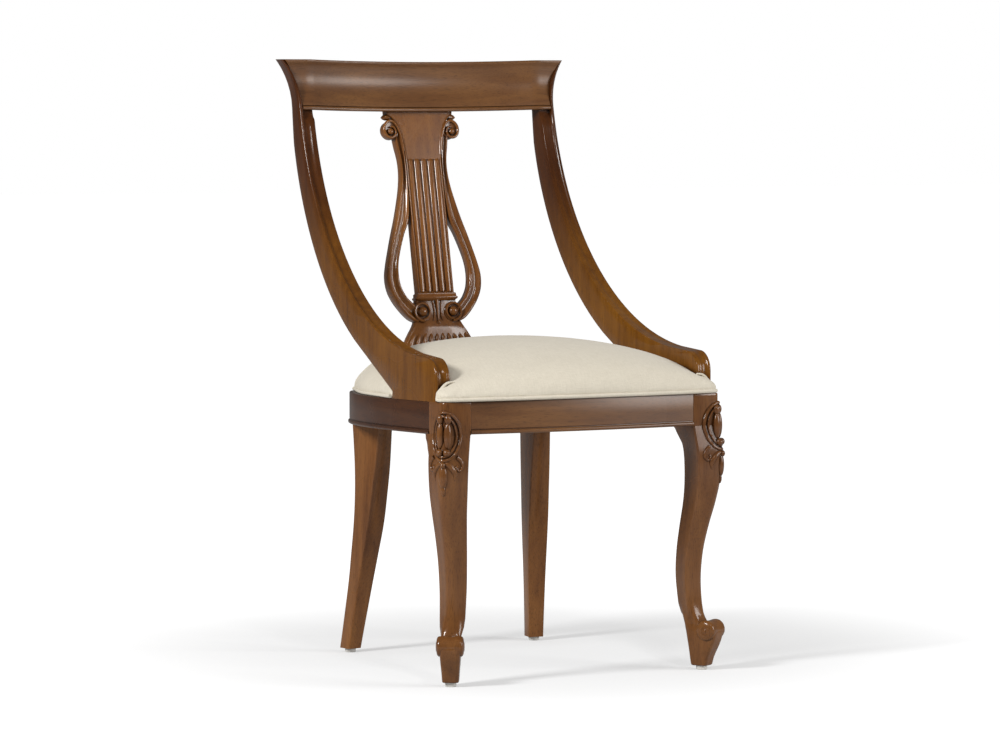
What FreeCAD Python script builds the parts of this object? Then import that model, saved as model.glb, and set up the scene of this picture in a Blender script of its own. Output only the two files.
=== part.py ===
import FreeCAD, Part
import math
import os

# Lyre back dining chair. Millimetres, +Z up, the sitter faces -Y, and +X is the sitter's left.
# While it is modelled, Y = 0 runs through the front feet. The last step puts the origin under
# the middle of the whole chair's box, on the floor.

Vec = FreeCAD.Vector

# Seat frame
railTop = 415.0          # height of the front rail's top edge
railHeight = 47.5
railThickness = 24.0
seatSlope = 1.32         # degrees that the seat falls to the back
frameHalfWidth = 232.0   # outer face of the front leg posts
frameFront = -16.0       # front face of the posts
frontBow = 17.0          # how far the front rail bows forward of the posts
sideBreak = 156.0        # where the side rails start to curve in
sideBreakHalfWidth = 228.5
rearHalfWidth = 158.0
rearCorner = 434.0
rearBow = 13.0
frameCornerRadius = 4.0
beadHeight = 6.0
beadProud = 1.6

# Front legs
postSide = 46.0
postCornerRadius = 9.0
footBottom = 6.5
footSide = 26.0
toeReach = 22.0
toeRadius = 12.5
toeHeight = 64.0
toeWidth = 33.0
voluteRadius = 9.5
voluteProud = 4.5
voluteReach = 9.0
cartoucheHeight = 72.0
cartoucheWidth = 40.0
cartoucheProud = 4.0
cartoucheRim = 4.5
lobeRadius = 5.5

# Rear legs
rearLegTurn = 8.5        # degrees that each rear leg is turned out
rearLegX = 142.5
rearLegY = 399.0
rearLegDepth = 74.0
rearLegWidth = 23.0
rearFootX = 161.0
rearFootY = 437.0
rearFootDepth = 23.5
rearFootWidth = 22.5
legCornerRadius = 3.0

# Glides
glideRadius = 8.3
glideHeight = 6.0
glidePinRadius = 1.6
glidePinLength = 14.0

# Uprights
backRise = 499.0         # crest top above the front rail top
uprightThickness = 24.0
uprightToe = 1.1         # degrees that the uprights open to the front
uprightPivotX = 222.0
uprightPivotY = 510.0
noseFront = 8.0
noseRadius = 30.0
noseRise = 62.0          # top of the nose above the rail top
footLength = 148.0
heelRise = 11.0
armRadius = 450.0        # front edge's sweep
armCentreY = 43.0
armCentreRise = 513.0
armStart = 6.0           # degrees of slope where the sweep starts and ends
armEnd = 78.3
underRadius = 466.0      # rear edge's sweep
underCentreY = 56.0
underCentreRise = 480.0
underStart = 30.0
underEnd = 76.0
uprightTopDepth = 23.0
earSpread = 24.0
earHeight = 74.0
channelWidth = 12.0
channelDepth = 2.0

# Crest rail
crestHeight = 78.0
crestDepth = 27.0
crestBow = 28.0
crestHollow = 5.0
crestBead = 6.0
crestLip = 7.0

# Lyre splat
splatDrawnHeight = 431.0  # heights below are measured up a splat of this height
splatThickness = 16.0
splatBaseY = 436.5       # middle of the splat at the rear rail's top
splatTopY = 526.0        # middle of the splat under the crest
splatHeadHalf = 57.0
splatFootHalf = 76.0
neckHeight = 98.0
neckHalf = 40.0
columnHalfWidth = 31.0
fluteCount = 5
fluteWidth = 9.4
fluteRidge = 2.2
fluteDepth = 2.2
fluteFoot = 148.0
fluteTop = 352.0
collarFoot = 136.0
collarHeight = 8.0
collarProud = 3.0
upperVoluteX = 51.0
upperVoluteHeight = 398.5
upperVoluteRadius = 14.0
lowerVoluteX = 26.8
lowerVoluteHeight = 116.0
lowerVoluteRadius = 15.5
lowerVoluteEye = 7.0
voluteStand = 3.5        # how far the volutes stand out in front
voluteRing = 3.0
reedRadius = 5.0
toothCount = 7
toothWidth = 8.5
toothDepth = 3.0
toothTop = 87.0
armGrooveWidth = 5.0
armGrooveDepth = 2.0
tenonWidth = 70.0
tenonThickness = 9.0
tenonLength = 16.0

# Joinery
dowelRadius = 4.0
dowelFit = 0.1
dowelLength = 32.0
dowelSpacing = 20.0
holeSpare = 0.6
tenonFit = 0.15
blockLeg = 62.0          # how far a corner block reaches along each rail
blockSetUp = 9.0         # block's underside above the front rails' underside
blockThickness = 24.0
screwRadius = 2.2
screwHeadRadius = 4.4
screwHeadHeight = 2.8
frontScrewLength = 58.0
rearScrewLength = 46.0
seatScrewLength = 34.0
screwFit = 0.1

# Seat
boardThickness = 12.0
boardInset = 2.5
seatCrown = 84.0         # top of the cushion above the rails
coverThickness = 1.3
softGap = 0.3
notchGap = 1.2
weltSize = 8.0
weltProud = 6.2
weltCornerRadius = 24.0
dustCoverThickness = 1.0

railBottom = railTop - railHeight
backTop = railTop + backRise
slope = math.tan(math.radians(seatSlope))
parts = {}


def face(edges):
    return Part.Face(Part.Wire(edges))


def line(a, b):
    return Part.LineSegment(a, b).toShape()


def arc(a, through, b):
    return Part.Arc(a, through, b).toShape()


def polygon(points):
    return Part.Face(Part.makePolygon(points + [points[0]]))


def box(x0, x1, y0, y1, z0, z1):
    return Part.makeBox(x1 - x0, y1 - y0, z1 - z0, Vec(x0, y0, z0))


def rod(start, direction, length, radius):
    return Part.makeCylinder(radius, length, start, direction)


def mirrored(shape):
    return shape.mirror(Vec(0, 0, 0), Vec(1, 0, 0))


def moved(shape, x, y, z):
    copy = shape.copy()
    copy.translate(Vec(x, y, z))
    return copy


# The seat plane falls to the back, so rails, posts and cushion are cut or laid on it.
def seatPlaneZ(y):
    return railTop - slope * y


def slab(low, high):
    # The space between two planes, low and high above the underside of the rails.
    near = -200.0
    far = 700.0
    side = polygon([Vec(-400, near, seatPlaneZ(near) - railHeight + low),
                    Vec(-400, far, seatPlaneZ(far) - railHeight + low),
                    Vec(-400, far, seatPlaneZ(far) - railHeight + high),
                    Vec(-400, near, seatPlaneZ(near) - railHeight + high)])
    return side.extrude(Vec(800, 0, 0))


def aboveSeat(low, high):
    return slab(railHeight + low, railHeight + high)


# Plan outline of the seat frame, grown outwards by a margin and scaled about the seat's
# middle. Every outline has the same lines and arcs, so the cushion can be lofted through them.
def seatOutline(grow, z, r, scale=1.0):
    middleY = (frameFront + rearCorner) / 2

    def at(x, y):
        return Vec(x * scale, middleY + (y - middleY) * scale, z)

    def opposite(p):
        return Vec(-p.x, p.y, p.z)

    side = frameHalfWidth + grow
    front = frameFront - grow
    breakX = sideBreakHalfWidth + grow
    rearX = rearHalfWidth + grow * 0.9
    rearY = rearCorner + grow * 0.95
    k = r * (1 - math.sqrt(0.5))
    frontEnd = at(side - r, front)
    frontCorner = at(side - k, front + k)
    sideStart = at(side, front + r)
    sideEnd = at(breakX, sideBreak)
    sweep = at(breakX - (breakX - rearX) * 0.34, sideBreak + (rearY - r - sideBreak) * 0.56)
    rearStart = at(rearX, rearY - r)
    rearMiddle = at(rearX - k, rearY - k + 1.0)
    backEnd = at(rearX - r, rearY + 1.5)
    edges = [arc(opposite(frontEnd), at(0, front - frontBow), frontEnd),
             arc(frontEnd, frontCorner, sideStart), line(sideStart, sideEnd),
             arc(sideEnd, sweep, rearStart), arc(rearStart, rearMiddle, backEnd),
             arc(backEnd, at(0, rearY + rearBow), opposite(backEnd)),
             arc(opposite(backEnd), opposite(rearMiddle), opposite(rearStart)),
             arc(opposite(rearStart), opposite(sweep), opposite(sideEnd)),
             line(opposite(sideEnd), opposite(sideStart)),
             arc(opposite(sideStart), opposite(frontCorner), opposite(frontEnd))]
    return Part.Wire(edges)


def outlinePrism(grow, low, high, cornerRadius=frameCornerRadius):
    prism = Part.Face(seatOutline(grow, railBottom - 60, cornerRadius)).extrude(Vec(0, 0, 240))
    return prism.common(slab(low, high))


# Rails: one ring with a bead along its lower edge, parted at the legs and the rear corners.
def makeRails():
    ring = outlinePrism(0.0, 0.0, railHeight)
    ring = ring.fuse(outlinePrism(beadProud, 0.0, beadHeight))
    ring = ring.cut(outlinePrism(-railThickness, -5.0, railHeight + 5.0, 8.0))
    postInner = frameHalfWidth - postSide
    postRear = frameFront + postSide
    innerCornerX = rearHalfWidth - railThickness - 3.0
    frontZone = box(-postInner, postInner, -100, postRear, 0, 500)
    rearZone = box(-innerCornerX, innerCornerX, rearCorner - 60, 600, 0, 500)
    sideZone = box(0, 400, postRear, 600, 0, 500)
    parts["front_rail"] = ring.common(frontZone)
    parts["rear_rail"] = ring.common(rearZone)
    parts["left_side_rail"] = ring.common(sideZone).cut(rearZone)
    parts["right_side_rail"] = mirrored(parts["left_side_rail"])


def roundedSection(cx, cy, along, across, depth, width, radii, z):
    # A rectangle of depth along one direction and width across it, its four corners
    # rounded by radii in the order front-out, rear-out, rear-in, front-in.
    corners = []
    for sd, sw in ((-1, 1), (1, 1), (1, -1), (-1, -1)):
        corners.append(Vec(cx + along[0] * sd * depth / 2 + across[0] * sw * width / 2,
                           cy + along[1] * sd * depth / 2 + across[1] * sw * width / 2, z))
    return roundedPolygon(corners, radii)


def roundedPolygon(corners, radii):
    count = len(corners)
    starts = []
    ends = []
    middles = []
    for i in range(count):
        p = corners[i]
        before = (corners[i - 1] - p)
        after = (corners[(i + 1) % count] - p)
        before.normalize()
        after.normalize()
        half = math.acos(max(-1.0, min(1.0, before.dot(after)))) / 2
        tangent = radii[i] / math.tan(half)
        bisector = before + after
        bisector.normalize()
        centre = p + bisector * (radii[i] / math.sin(half))
        starts.append(p + before * tangent)
        ends.append(p + after * tangent)
        middles.append(centre - bisector * radii[i])
    edges = []
    for i in range(count):
        edges.append(arc(starts[i], middles[i], ends[i]))
        edges.append(line(ends[i], starts[(i + 1) % count]))
    return Part.Wire(edges)


# Front leg: stations as (share of the height, step out along the diagonal, side of the
# square, roundness of the outward corner as a share of the side).
cabriole = ((0.13, -1.0, 27.0, 0.34), (0.20, -6.5, 26.0, 0.34), (0.29, -13.5, 25.5, 0.34),
            (0.38, -16.0, 26.0, 0.34), (0.48, -12.5, 28.5, 0.34), (0.58, -5.5, 33.0, 0.32),
            (0.68, 3.0, 38.0, 0.30), (0.77, 7.5, 42.0, 0.28), (0.87, 8.0, 44.5, 0.26),
            (0.94, 4.5, 45.5, 0.22))
kneeBracket = 15.0


def legCentre():
    return (frameHalfWidth - postSide / 2, frameFront + postSide / 2)


def frontLegAxis():
    # The foot's middle, from which the toe and the pedestal are set out.
    cx, cy = legCentre()
    return (cx + 2.5, cy - 6.5)


def makeFrontLeg():
    cx, cy = legCentre()
    height = railBottom - footBottom
    diagonal = math.sqrt(0.5)
    sections = []
    for share, step, side, roundness in cabriole:
        z = footBottom + share * height
        x = cx + step * diagonal
        y = cy - step * diagonal
        radii = (side * roundness, side * 0.10, side * 0.12, side * 0.10)
        sections.append(roundedSection(x, y, (0, 1), (1, 0), side, side, radii, z))
    x0 = frameHalfWidth - postSide
    y0 = frameFront
    top = railBottom + 0.4
    corners = [Vec(frameHalfWidth, y0, top), Vec(frameHalfWidth, y0 + postSide + kneeBracket, top),
               Vec(x0 - kneeBracket * 0.3, y0 + postSide + kneeBracket, top), Vec(x0, y0, top)]
    sections.append(roundedPolygon(corners, (postCornerRadius, 2.0, 5.0, 2.0)))
    shaft = Part.makeLoft(sections, True, False)
    shaft = shaft.cut(slab(0.0, 60.0))
    post = box(x0, frameHalfWidth, y0, y0 + postSide, railBottom - 6.0, railTop + 20)
    edge = [e for e in post.Edges if abs(e.BoundBox.XMin - frameHalfWidth) < 0.01
            and abs(e.BoundBox.YMax - y0) < 0.01 and e.BoundBox.ZLength > 10]
    post = post.makeFillet(postCornerRadius, edge)
    post = post.cut(aboveSeat(0.0, 60.0))
    leg = shaft.fuse(post)
    leg = leg.fuse(makeFoot())
    leg = leg.fuse(makeCartouche())
    return leg.removeSplitter()


def diagonalFrame(shape):
    # Turns a shape drawn with +X outwards so that it points out of the left front corner.
    fx, fy = frontLegAxis()
    turned = shape.copy()
    turned.rotate(Vec(0, 0, 0), Vec(0, 0, 1), -45)
    turned.translate(Vec(fx, fy, 0))
    return turned


def makeFoot():
    half = footSide / 2
    levels = ((footBottom, -half, half, half), (footBottom + 14, -half - 1.0, half + 1.5, half + 0.8),
              (footBottom + 30, -half - 2.0, half + 6.0, half + 2.5),
              (toeHeight - 12, -half - 2.5, toeReach + 3.0, half + 3.5),
              (toeHeight, -half - 2.5, toeReach - 6.0, half + 3.5),
              (toeHeight + 16, -half - 2.0, toeReach - 16.0, half + 2.0))
    sections = []
    for z, back, front, across in levels:
        corners = [Vec(front, -across, z), Vec(front, across, z), Vec(back, across, z),
                   Vec(back, -across, z)]
        sections.append(roundedPolygon(corners, (3.0, 3.0, 5.0, 5.0)))
    pedestal = Part.makeLoft(sections, True, True)
    roll = rod(Vec(toeReach, -toeWidth / 2, toeHeight), Vec(0, 1, 0), toeWidth, toeRadius)
    roll = roll.makeFillet(3.5, [e for e in roll.Edges if e.BoundBox.YLength < 0.01])
    span = toeWidth + 2 * voluteProud
    disc = rod(Vec(voluteReach, -span / 2, toeHeight - 1), Vec(0, 1, 0), span, voluteRadius)
    disc = disc.makeFillet(1.5, [e for e in disc.Edges if e.BoundBox.YLength < 0.01])
    neck = box(0, toeReach, -toeWidth / 2 + 2.5, toeWidth / 2 - 2.5, toeHeight - 8, toeHeight + toeRadius - 0.6)
    foot = pedestal.fuse([roll, disc, neck])
    return diagonalFrame(foot)


def ellipse(centre, normal, up, tall, wide):
    curve = Part.Ellipse(centre + up * (tall / 2), centre + normal.cross(up) * (wide / 2), centre)
    return Part.Wire(curve.toShape())


# Oval boss with a raised rim on the knee's outward corner, above a pendant leaf.
def makeCartouche():
    cx, cy = legCentre()
    corner = postSide / 2 - postCornerRadius * (1 - math.sqrt(0.5))
    out = Vec(math.sqrt(0.5), -math.sqrt(0.5), 0)
    up = Vec(0, 0, 1)
    middle = Vec(cx, cy, railTop - 13 - cartoucheHeight / 2) + out * (corner * math.sqrt(2) - 16)
    depth = out * (16 + cartoucheProud)
    boss = Part.Face(ellipse(middle, out, up, cartoucheHeight, cartoucheWidth)).extrude(depth)
    hollow = Part.Face(ellipse(middle + out * (16 + cartoucheProud - 2.4), out, up,
                               cartoucheHeight - 2 * cartoucheRim,
                               cartoucheWidth - 2 * cartoucheRim)).extrude(out * 10)
    boss = boss.cut(hollow)
    tall = cartoucheHeight / 3
    spindle = face([arc(Vec(0, 0, -tall), Vec(lobeRadius, 0, 0), Vec(0, 0, tall)),
                    line(Vec(0, 0, tall), Vec(0, 0, -tall))])
    lobe = spindle.revolve(Vec(0, 0, 0), Vec(0, 0, 1), 360)
    for side in (-1, 1):
        across = Vec(math.sqrt(0.5), math.sqrt(0.5), 0) * (side * 5.5)
        place = middle + out * (12 + cartoucheProud) + across
        boss = boss.fuse(moved(lobe, place.x, place.y, place.z))
    pearl = Part.makeSphere(5.0, middle + out * (14 + cartoucheProud) - up * (cartoucheHeight / 2 - 9))
    leafTip = middle - up * (cartoucheHeight / 2 + 40)
    leafTop = middle - up * (cartoucheHeight / 2 - 6)
    leaf = Part.makeCone(3.0, 12.0, (leafTop - leafTip).Length, leafTip + out * 8, up)
    return boss.fuse([pearl, leaf])


# Rear leg: a square-cornered sabre, lofted from the foot to the underside of the rails.
sabre = ((0.0, 0.0, 0.0, 0.0), (0.12, 0.20, 0.02, 0.22), (0.29, 0.48, 0.06, 0.65), (0.41, 0.66, 0.15, 0.90),
         (0.55, 0.86, 0.29, 1.05), (0.68, 0.97, 0.42, 1.0), (0.81, 1.03, 0.64, 0.72),
         (0.97, 1.03, 0.97, 0.1), (1.04, 1.0, 1.06, 0.0))
sabreSwell = 6.0


def makeRearLeg():
    turn = math.radians(rearLegTurn)
    along = (math.sin(turn), math.cos(turn))
    across = (math.cos(turn), -math.sin(turn))
    top = seatPlaneZ(rearLegY) - railHeight
    sections = []
    for share, shift, growth, swell in sabre:
        z = footBottom + share * (top - footBottom)
        x = rearFootX + (rearLegX - rearFootX) * shift
        y = rearFootY + (rearLegY - rearFootY) * shift
        depth = rearFootDepth + (rearLegDepth - rearFootDepth) * growth
        width = rearFootWidth + (rearLegWidth - rearFootWidth) * growth + sabreSwell * swell
        radii = (legCornerRadius, legCornerRadius, legCornerRadius, legCornerRadius)
        sections.append(roundedSection(x, y, along, across, depth, width, radii, z))
    leg = Part.makeLoft(sections, True, False)
    return leg.cut(slab(0.0, 60.0))


def makeGlide(x, y):
    disc = Part.makeCylinder(glideRadius, glideHeight, Vec(x, y, 0))
    disc = disc.makeFillet(1.2, [e for e in disc.Edges if e.BoundBox.ZMax < 0.01])
    pin = Part.makeCylinder(glidePinRadius, glidePinLength, Vec(x, y, glideHeight))
    collar = Part.makeCylinder(glideRadius * 0.7, footBottom - glideHeight, Vec(x, y, glideHeight))
    return disc.fuse([pin, collar]).removeSplitter()


def makeLegs():
    parts["left_front_leg"] = makeFrontLeg()
    parts["left_rear_leg"] = makeRearLeg()
    footX, footY = frontLegAxis()
    places = {"front": (footX, footY), "rear": (rearFootX, rearFootY)}
    for end, (x, y) in places.items():
        hole = rod(Vec(x, y, 0), Vec(0, 0, 1), glideHeight + glidePinLength + holeSpare,
                   glidePinRadius + screwFit)
        leg = parts["left_" + end + "_leg"].cut(hole)
        parts["left_" + end + "_leg"] = leg
        parts["right_" + end + "_leg"] = mirrored(leg)
        parts["left_" + end + "_glide"] = makeGlide(x, y)
        parts["right_" + end + "_glide"] = mirrored(makeGlide(x, y))


# Upright: drawn as seen from the side, in its own plane x = 0 to uprightThickness.
def sweepPoint(centreY, centreRise, radius, angle):
    a = math.radians(angle)
    return (centreY + radius * math.sin(a), railTop + centreRise - radius * math.cos(a))


def uprightProfile(inset):
    # The closed side outline. A positive inset moves the front edge in, for the channel.
    def front(angle):
        y, z = sweepPoint(armCentreY, armCentreRise, armRadius + inset, angle)
        return Vec(0, y, z)

    def rear(angle):
        y, z = sweepPoint(underCentreY, underCentreRise, underRadius, angle)
        return Vec(0, y, z)

    noseR = noseRadius - inset
    noseCentre = Vec(0, noseFront + noseRadius, railTop + noseRise - noseRadius)
    sweepEnd = front(armEnd)
    topY = sweepEnd.y + (backTop - sweepEnd.z) / math.tan(math.radians(armEnd))
    topFront = Vec(0, topY, backTop)
    topRear = Vec(0, frontTopY() + uprightTopDepth, backTop)
    noseTop = noseCentre + Vec(0, 0, noseR)
    noseSide = noseCentre + Vec(0, -noseR, 0)
    noseMid = noseCentre + Vec(0, -noseR, noseR) * math.sqrt(0.5)
    under = 4.0
    toeFoot = Vec(0, noseFront + inset, seatPlaneZ(noseFront) - under)
    heelY = noseFront + footLength
    heelFoot = Vec(0, heelY, seatPlaneZ(heelY) - under)
    heelTop = heelFoot + Vec(0, 0, heelRise + under)
    upperRear = (rear(underEnd) + topRear) * 0.5 + Vec(0, 1.2, 0)
    edges = [line(toeFoot, noseSide), arc(noseSide, noseMid, noseTop), line(noseTop, front(armStart)),
             arc(front(armStart), front((armStart + armEnd) / 2), front(armEnd)),
             line(front(armEnd), topFront), line(topFront, topRear),
             arc(topRear, upperRear, rear(underEnd)),
             arc(rear(underEnd), rear((underStart + underEnd) / 2), rear(underStart)),
             line(rear(underStart), heelTop), line(heelTop, heelFoot), line(heelFoot, toeFoot)]
    return Part.Face(Part.Wire(edges))


def frontTopY():
    y, z = sweepPoint(armCentreY, armCentreRise, armRadius, armEnd)
    return y + (backTop - z) / math.tan(math.radians(armEnd))


def toUprightPlace(shape):
    placed = shape.copy()
    placed.translate(Vec(uprightPivotX - uprightThickness, 0, 0))
    placed.rotate(Vec(uprightPivotX, uprightPivotY, 0), Vec(0, 0, 1), uprightToe)
    return placed


def makeUpright():
    blank = uprightProfile(0).extrude(Vec(uprightThickness + earSpread, 0, 0))
    earFoot = backTop - earHeight
    radius = (earHeight ** 2 + earSpread ** 2) / (2 * earSpread)
    lean = math.asin(earHeight / radius) / 2
    middle = Vec(uprightThickness + radius * (1 - math.cos(lean)), 0, earFoot + radius * math.sin(lean))
    outline = face([line(Vec(0, 0, 300), Vec(uprightThickness, 0, 300)),
                    line(Vec(uprightThickness, 0, 300), Vec(uprightThickness, 0, earFoot)),
                    arc(Vec(uprightThickness, 0, earFoot), middle,
                        Vec(uprightThickness + earSpread, 0, backTop)),
                    line(Vec(uprightThickness + earSpread, 0, backTop), Vec(0, 0, backTop)),
                    line(Vec(0, 0, backTop), Vec(0, 0, 300))])
    upright = blank.common(outline.extrude(Vec(0, 700, 0)))
    edge = (uprightThickness - channelWidth) / 2
    core = uprightProfile(0).extrude(Vec(channelWidth, 0, 0))
    deep = uprightProfile(channelDepth).extrude(Vec(channelWidth, 0, 0))
    channel = core.cut(deep).common(box(-1, 60, -50, 700, seatPlaneZ(noseFront) - 5, backTop - earHeight))
    upright = upright.cut(moved(channel, edge, 0, 0))
    return toUprightPlace(upright).cut(slab(0.0, railHeight))


# Crest rail: its section is drawn on the middle plane and swept round a flat arc in plan,
# then cut to the inner faces of the uprights.
def makeCrest():
    bottom = backTop - crestHeight
    frontY = splatTopY - crestDepth / 2
    lean = 1 / math.tan(math.radians(armEnd))
    rise = crestHeight
    topFrontY = frontY + rise * lean
    beadTop = Vec(0, frontY + crestBead * lean, bottom + crestBead)
    quirk = beadTop + Vec(0, 2.2, 0)
    lip = Vec(0, topFrontY - 0.5, backTop - crestLip)
    middle = Vec(0, (quirk.y + lip.y) / 2 + crestHollow, (quirk.z + lip.z) / 2)
    rearTop = Vec(0, topFrontY + uprightTopDepth - 3, backTop)
    rearBottom = Vec(0, frontY + crestDepth, bottom)
    section = face([line(Vec(0, frontY, bottom), beadTop), line(beadTop, quirk), arc(quirk, middle, lip),
                    line(lip, Vec(0, topFrontY, backTop)), line(Vec(0, topFrontY, backTop), rearTop),
                    line(rearTop, rearBottom), line(rearBottom, Vec(0, frontY, bottom))])
    half = uprightPivotX - uprightThickness
    radius = (half ** 2 + crestBow ** 2) / (2 * crestBow)
    axis = Vec(0, frontY - radius, 0)
    spread = math.degrees(math.asin((half + 12) / radius))
    section.rotate(axis, Vec(0, 0, 1), -spread)
    crest = section.revolve(axis, Vec(0, 0, 1), 2 * spread)
    outside = toUprightPlace(box(0, 100, 0, 700, 300, 1000))
    return crest.cut([outside, mirrored(outside)])


# Lyre splat, drawn upright with its front on the plane and leaned into place afterwards.
def splatFootZ():
    return seatPlaneZ(splatBaseY)


def splatHeadZ():
    return backTop - crestHeight


def splatLean():
    return math.degrees(math.atan2(splatTopY - splatBaseY, splatHeadZ() - splatFootZ()))


def splatScale():
    length = math.hypot(splatTopY - splatBaseY, splatHeadZ() - splatFootZ())
    return length / splatDrawnHeight


def curve(points):
    spline = Part.BSplineCurve()
    spline.interpolate(points)
    return spline.toShape()


def flat(x, height, y=0.0):
    return Vec(x, y, height * splatScale())


def chain(*stretches):
    # Joins stretches of points into edges: two points make a line, more make a curve.
    edges = []
    for stretch in stretches:
        points = [flat(x, height) for x, height in stretch]
        if len(points) == 2:
            edges.append(line(points[0], points[1]))
        else:
            edges.append(curve(points))
    return edges


# Outer edge of an arm from the volute down to the neck, the edge of the opening beside the
# column, and the middle line of the arm's groove, as (half width, height).
lyreArm = ((48.0, 381.0), (41.0, 359.0), (40.0, 337.0), (43.5, 309.0), (51.0, 279.0), (65.0, 235.0),
           (77.0, 195.0), (82.0, 171.0), (79.5, 151.0), (69.0, 129.0), (54.0, 111.0), (neckHalf, neckHeight))
lyreVoid = ((33.0, 263.0), (42.0, 245.0), (56.0, 207.0), (61.5, 179.0), (59.5, 155.0), (51.0, 138.5),
            (37.0, 129.0))
grooveLine = ((39.0, 290.0), (46.0, 265.0), (60.0, 222.0), (70.5, 183.0), (69.5, 156.0), (59.0, 134.0))


def bothHalves(half):
    # Edges of an outline's stretches and of their mirror images.
    other = [tuple((-x, height) for x, height in stretch) for stretch in half]
    return chain(*half) + chain(*other)


def splatPrism(edges, depth):
    wire = Part.Wire(Part.sortEdges(edges)[0])
    return Part.Face(wire).extrude(Vec(0, depth, 0))


def makeSplatBoard():
    head = splatDrawnHeight
    flare = ((neckHalf, neckHeight), (45.5, 85.0), (54.0, 67.0), (66.0, 40.0), (splatFootHalf, 0.0))
    fillet = ((splatHeadHalf, head), (splatHeadHalf, head - 10.0), (splatHeadHalf + 7.5, head - 13.0),
              (splatHeadHalf - 1.0, head - 18.0), (50.0, 395.0), lyreArm[0])
    half = [(fillet[i], fillet[i + 1]) for i in range(len(fillet) - 1)] + [lyreArm, flare]
    edges = bothHalves(half) + chain(((-splatHeadHalf, head), (splatHeadHalf, head)),
                                     ((-splatFootHalf, 0.0), (splatFootHalf, 0.0)))
    board = splatPrism(edges, splatThickness)
    for side in (-1, 1):
        mouth = [(side * x, height) for x, height in lyreVoid]
        low = (side * columnHalfWidth, mouth[-1][1] + 2.0)
        high = (side * columnHalfWidth, mouth[0][1] - 2.0)
        hole = splatPrism(chain(mouth, (mouth[-1], low), (low, high), (high, mouth[0])), splatThickness + 4)
        board = board.cut(moved(hole, 0, -2, 0))
    return board


def upright(x, low, high, radius, depth):
    # A groove's round cutter: a standing rod that cuts as deep as depth into the front.
    foot = flat(x, low, depth - radius)
    return rod(foot, Vec(0, 0, 1), (high - low) * splatScale(), radius)


def grooveRadius(width, depth):
    return (width ** 2 / 4 + depth ** 2) / (2 * depth)


def cutGrooves(board):
    pitch = fluteWidth + fluteRidge
    radius = grooveRadius(fluteWidth, fluteDepth)
    for i in range(fluteCount):
        x = (i - (fluteCount - 1) / 2) * pitch
        board = board.cut(upright(x, fluteFoot, fluteTop, radius, fluteDepth))
    toothPitch = (2 * neckHalf + 16) / toothCount
    radius = grooveRadius(toothWidth, toothDepth)
    for i in range(toothCount):
        x = (i - (toothCount - 1) / 2) * toothPitch
        board = board.cut(upright(x, -10.0, toothTop, radius, toothDepth))
    for side in (-1, 1):
        inner = [(side * (x - armGrooveWidth / 2), height) for x, height in grooveLine]
        outer = [(side * (x + armGrooveWidth / 2), height) for x, height in grooveLine]
        edges = chain(inner, outer, (inner[0], outer[0]), (inner[-1], outer[-1]))
        board = board.cut(splatPrism(edges, armGrooveDepth))
    return board


def addVolutes(board):
    depth = splatThickness + voluteStand
    for side in (-1, 1):
        upper = flat(side * upperVoluteX, upperVoluteHeight, -voluteStand)
        lower = flat(side * lowerVoluteX, lowerVoluteHeight, -voluteStand)
        back = Vec(0, 1, 0)
        board = board.fuse([rod(upper, back, depth, upperVoluteRadius),
                            rod(lower, back, depth, lowerVoluteRadius)])
        board = board.cut([rod(upper - back, back, 4.0, upperVoluteRadius - voluteRing),
                           rod(lower - back, back, 4.0, lowerVoluteRadius - voluteRing)])
        board = board.fuse([Part.makeSphere(upperVoluteRadius * 0.6, upper + back * 4.0),
                            Part.makeSphere(lowerVoluteEye, lower + back * 4.0)])
    return board


def makeSplat():
    board = addVolutes(cutGrooves(makeSplatBoard()))
    half = columnHalfWidth + 2
    foot = flat(0, collarFoot).z
    collar = box(-half, half, -collarProud, splatThickness, foot, foot + collarHeight)
    reed = rod(flat(0, toothTop, 1.0), Vec(0, 0, 1), foot - flat(0, toothTop).z, reedRadius)
    board = board.fuse([collar, reed])
    board.translate(Vec(0, -splatThickness / 2, 0))
    board.rotate(Vec(0, 0, 0), Vec(1, 0, 0), -splatLean())
    board.translate(Vec(0, splatBaseY, splatFootZ()))
    board = board.cut(aboveSeat(-40.0, 0.0))
    crestFoot = splatHeadZ()
    return board.cut(box(-200, 200, 400, 700, crestFoot, crestFoot + 60))


def tenon(y, z, grow):
    half = tenonThickness / 2 + grow
    return box(-tenonWidth / 2 - grow, tenonWidth / 2 + grow, y - half, y + half,
               z - tenonLength - grow, z + tenonLength + grow)


def makeBack():
    parts["left_upright"] = makeUpright()
    parts["crest_rail"] = makeCrest()
    splat = makeSplat()
    headZ = splatHeadZ()
    footZ = splatFootZ()
    for y, z in ((splatBaseY, footZ), (splatTopY, headZ)):
        splat = splat.fuse(tenon(y, z, 0.0).common(box(-200, 200, 300, 700, z - 40, z + 40)))
    parts["lyre_splat"] = splat.removeSplitter()
    parts["crest_rail"] = parts["crest_rail"].cut(tenon(splatTopY, headZ, tenonFit))
    parts["rear_rail"] = parts["rear_rail"].cut(tenon(splatBaseY, footZ, tenonFit))


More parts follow.
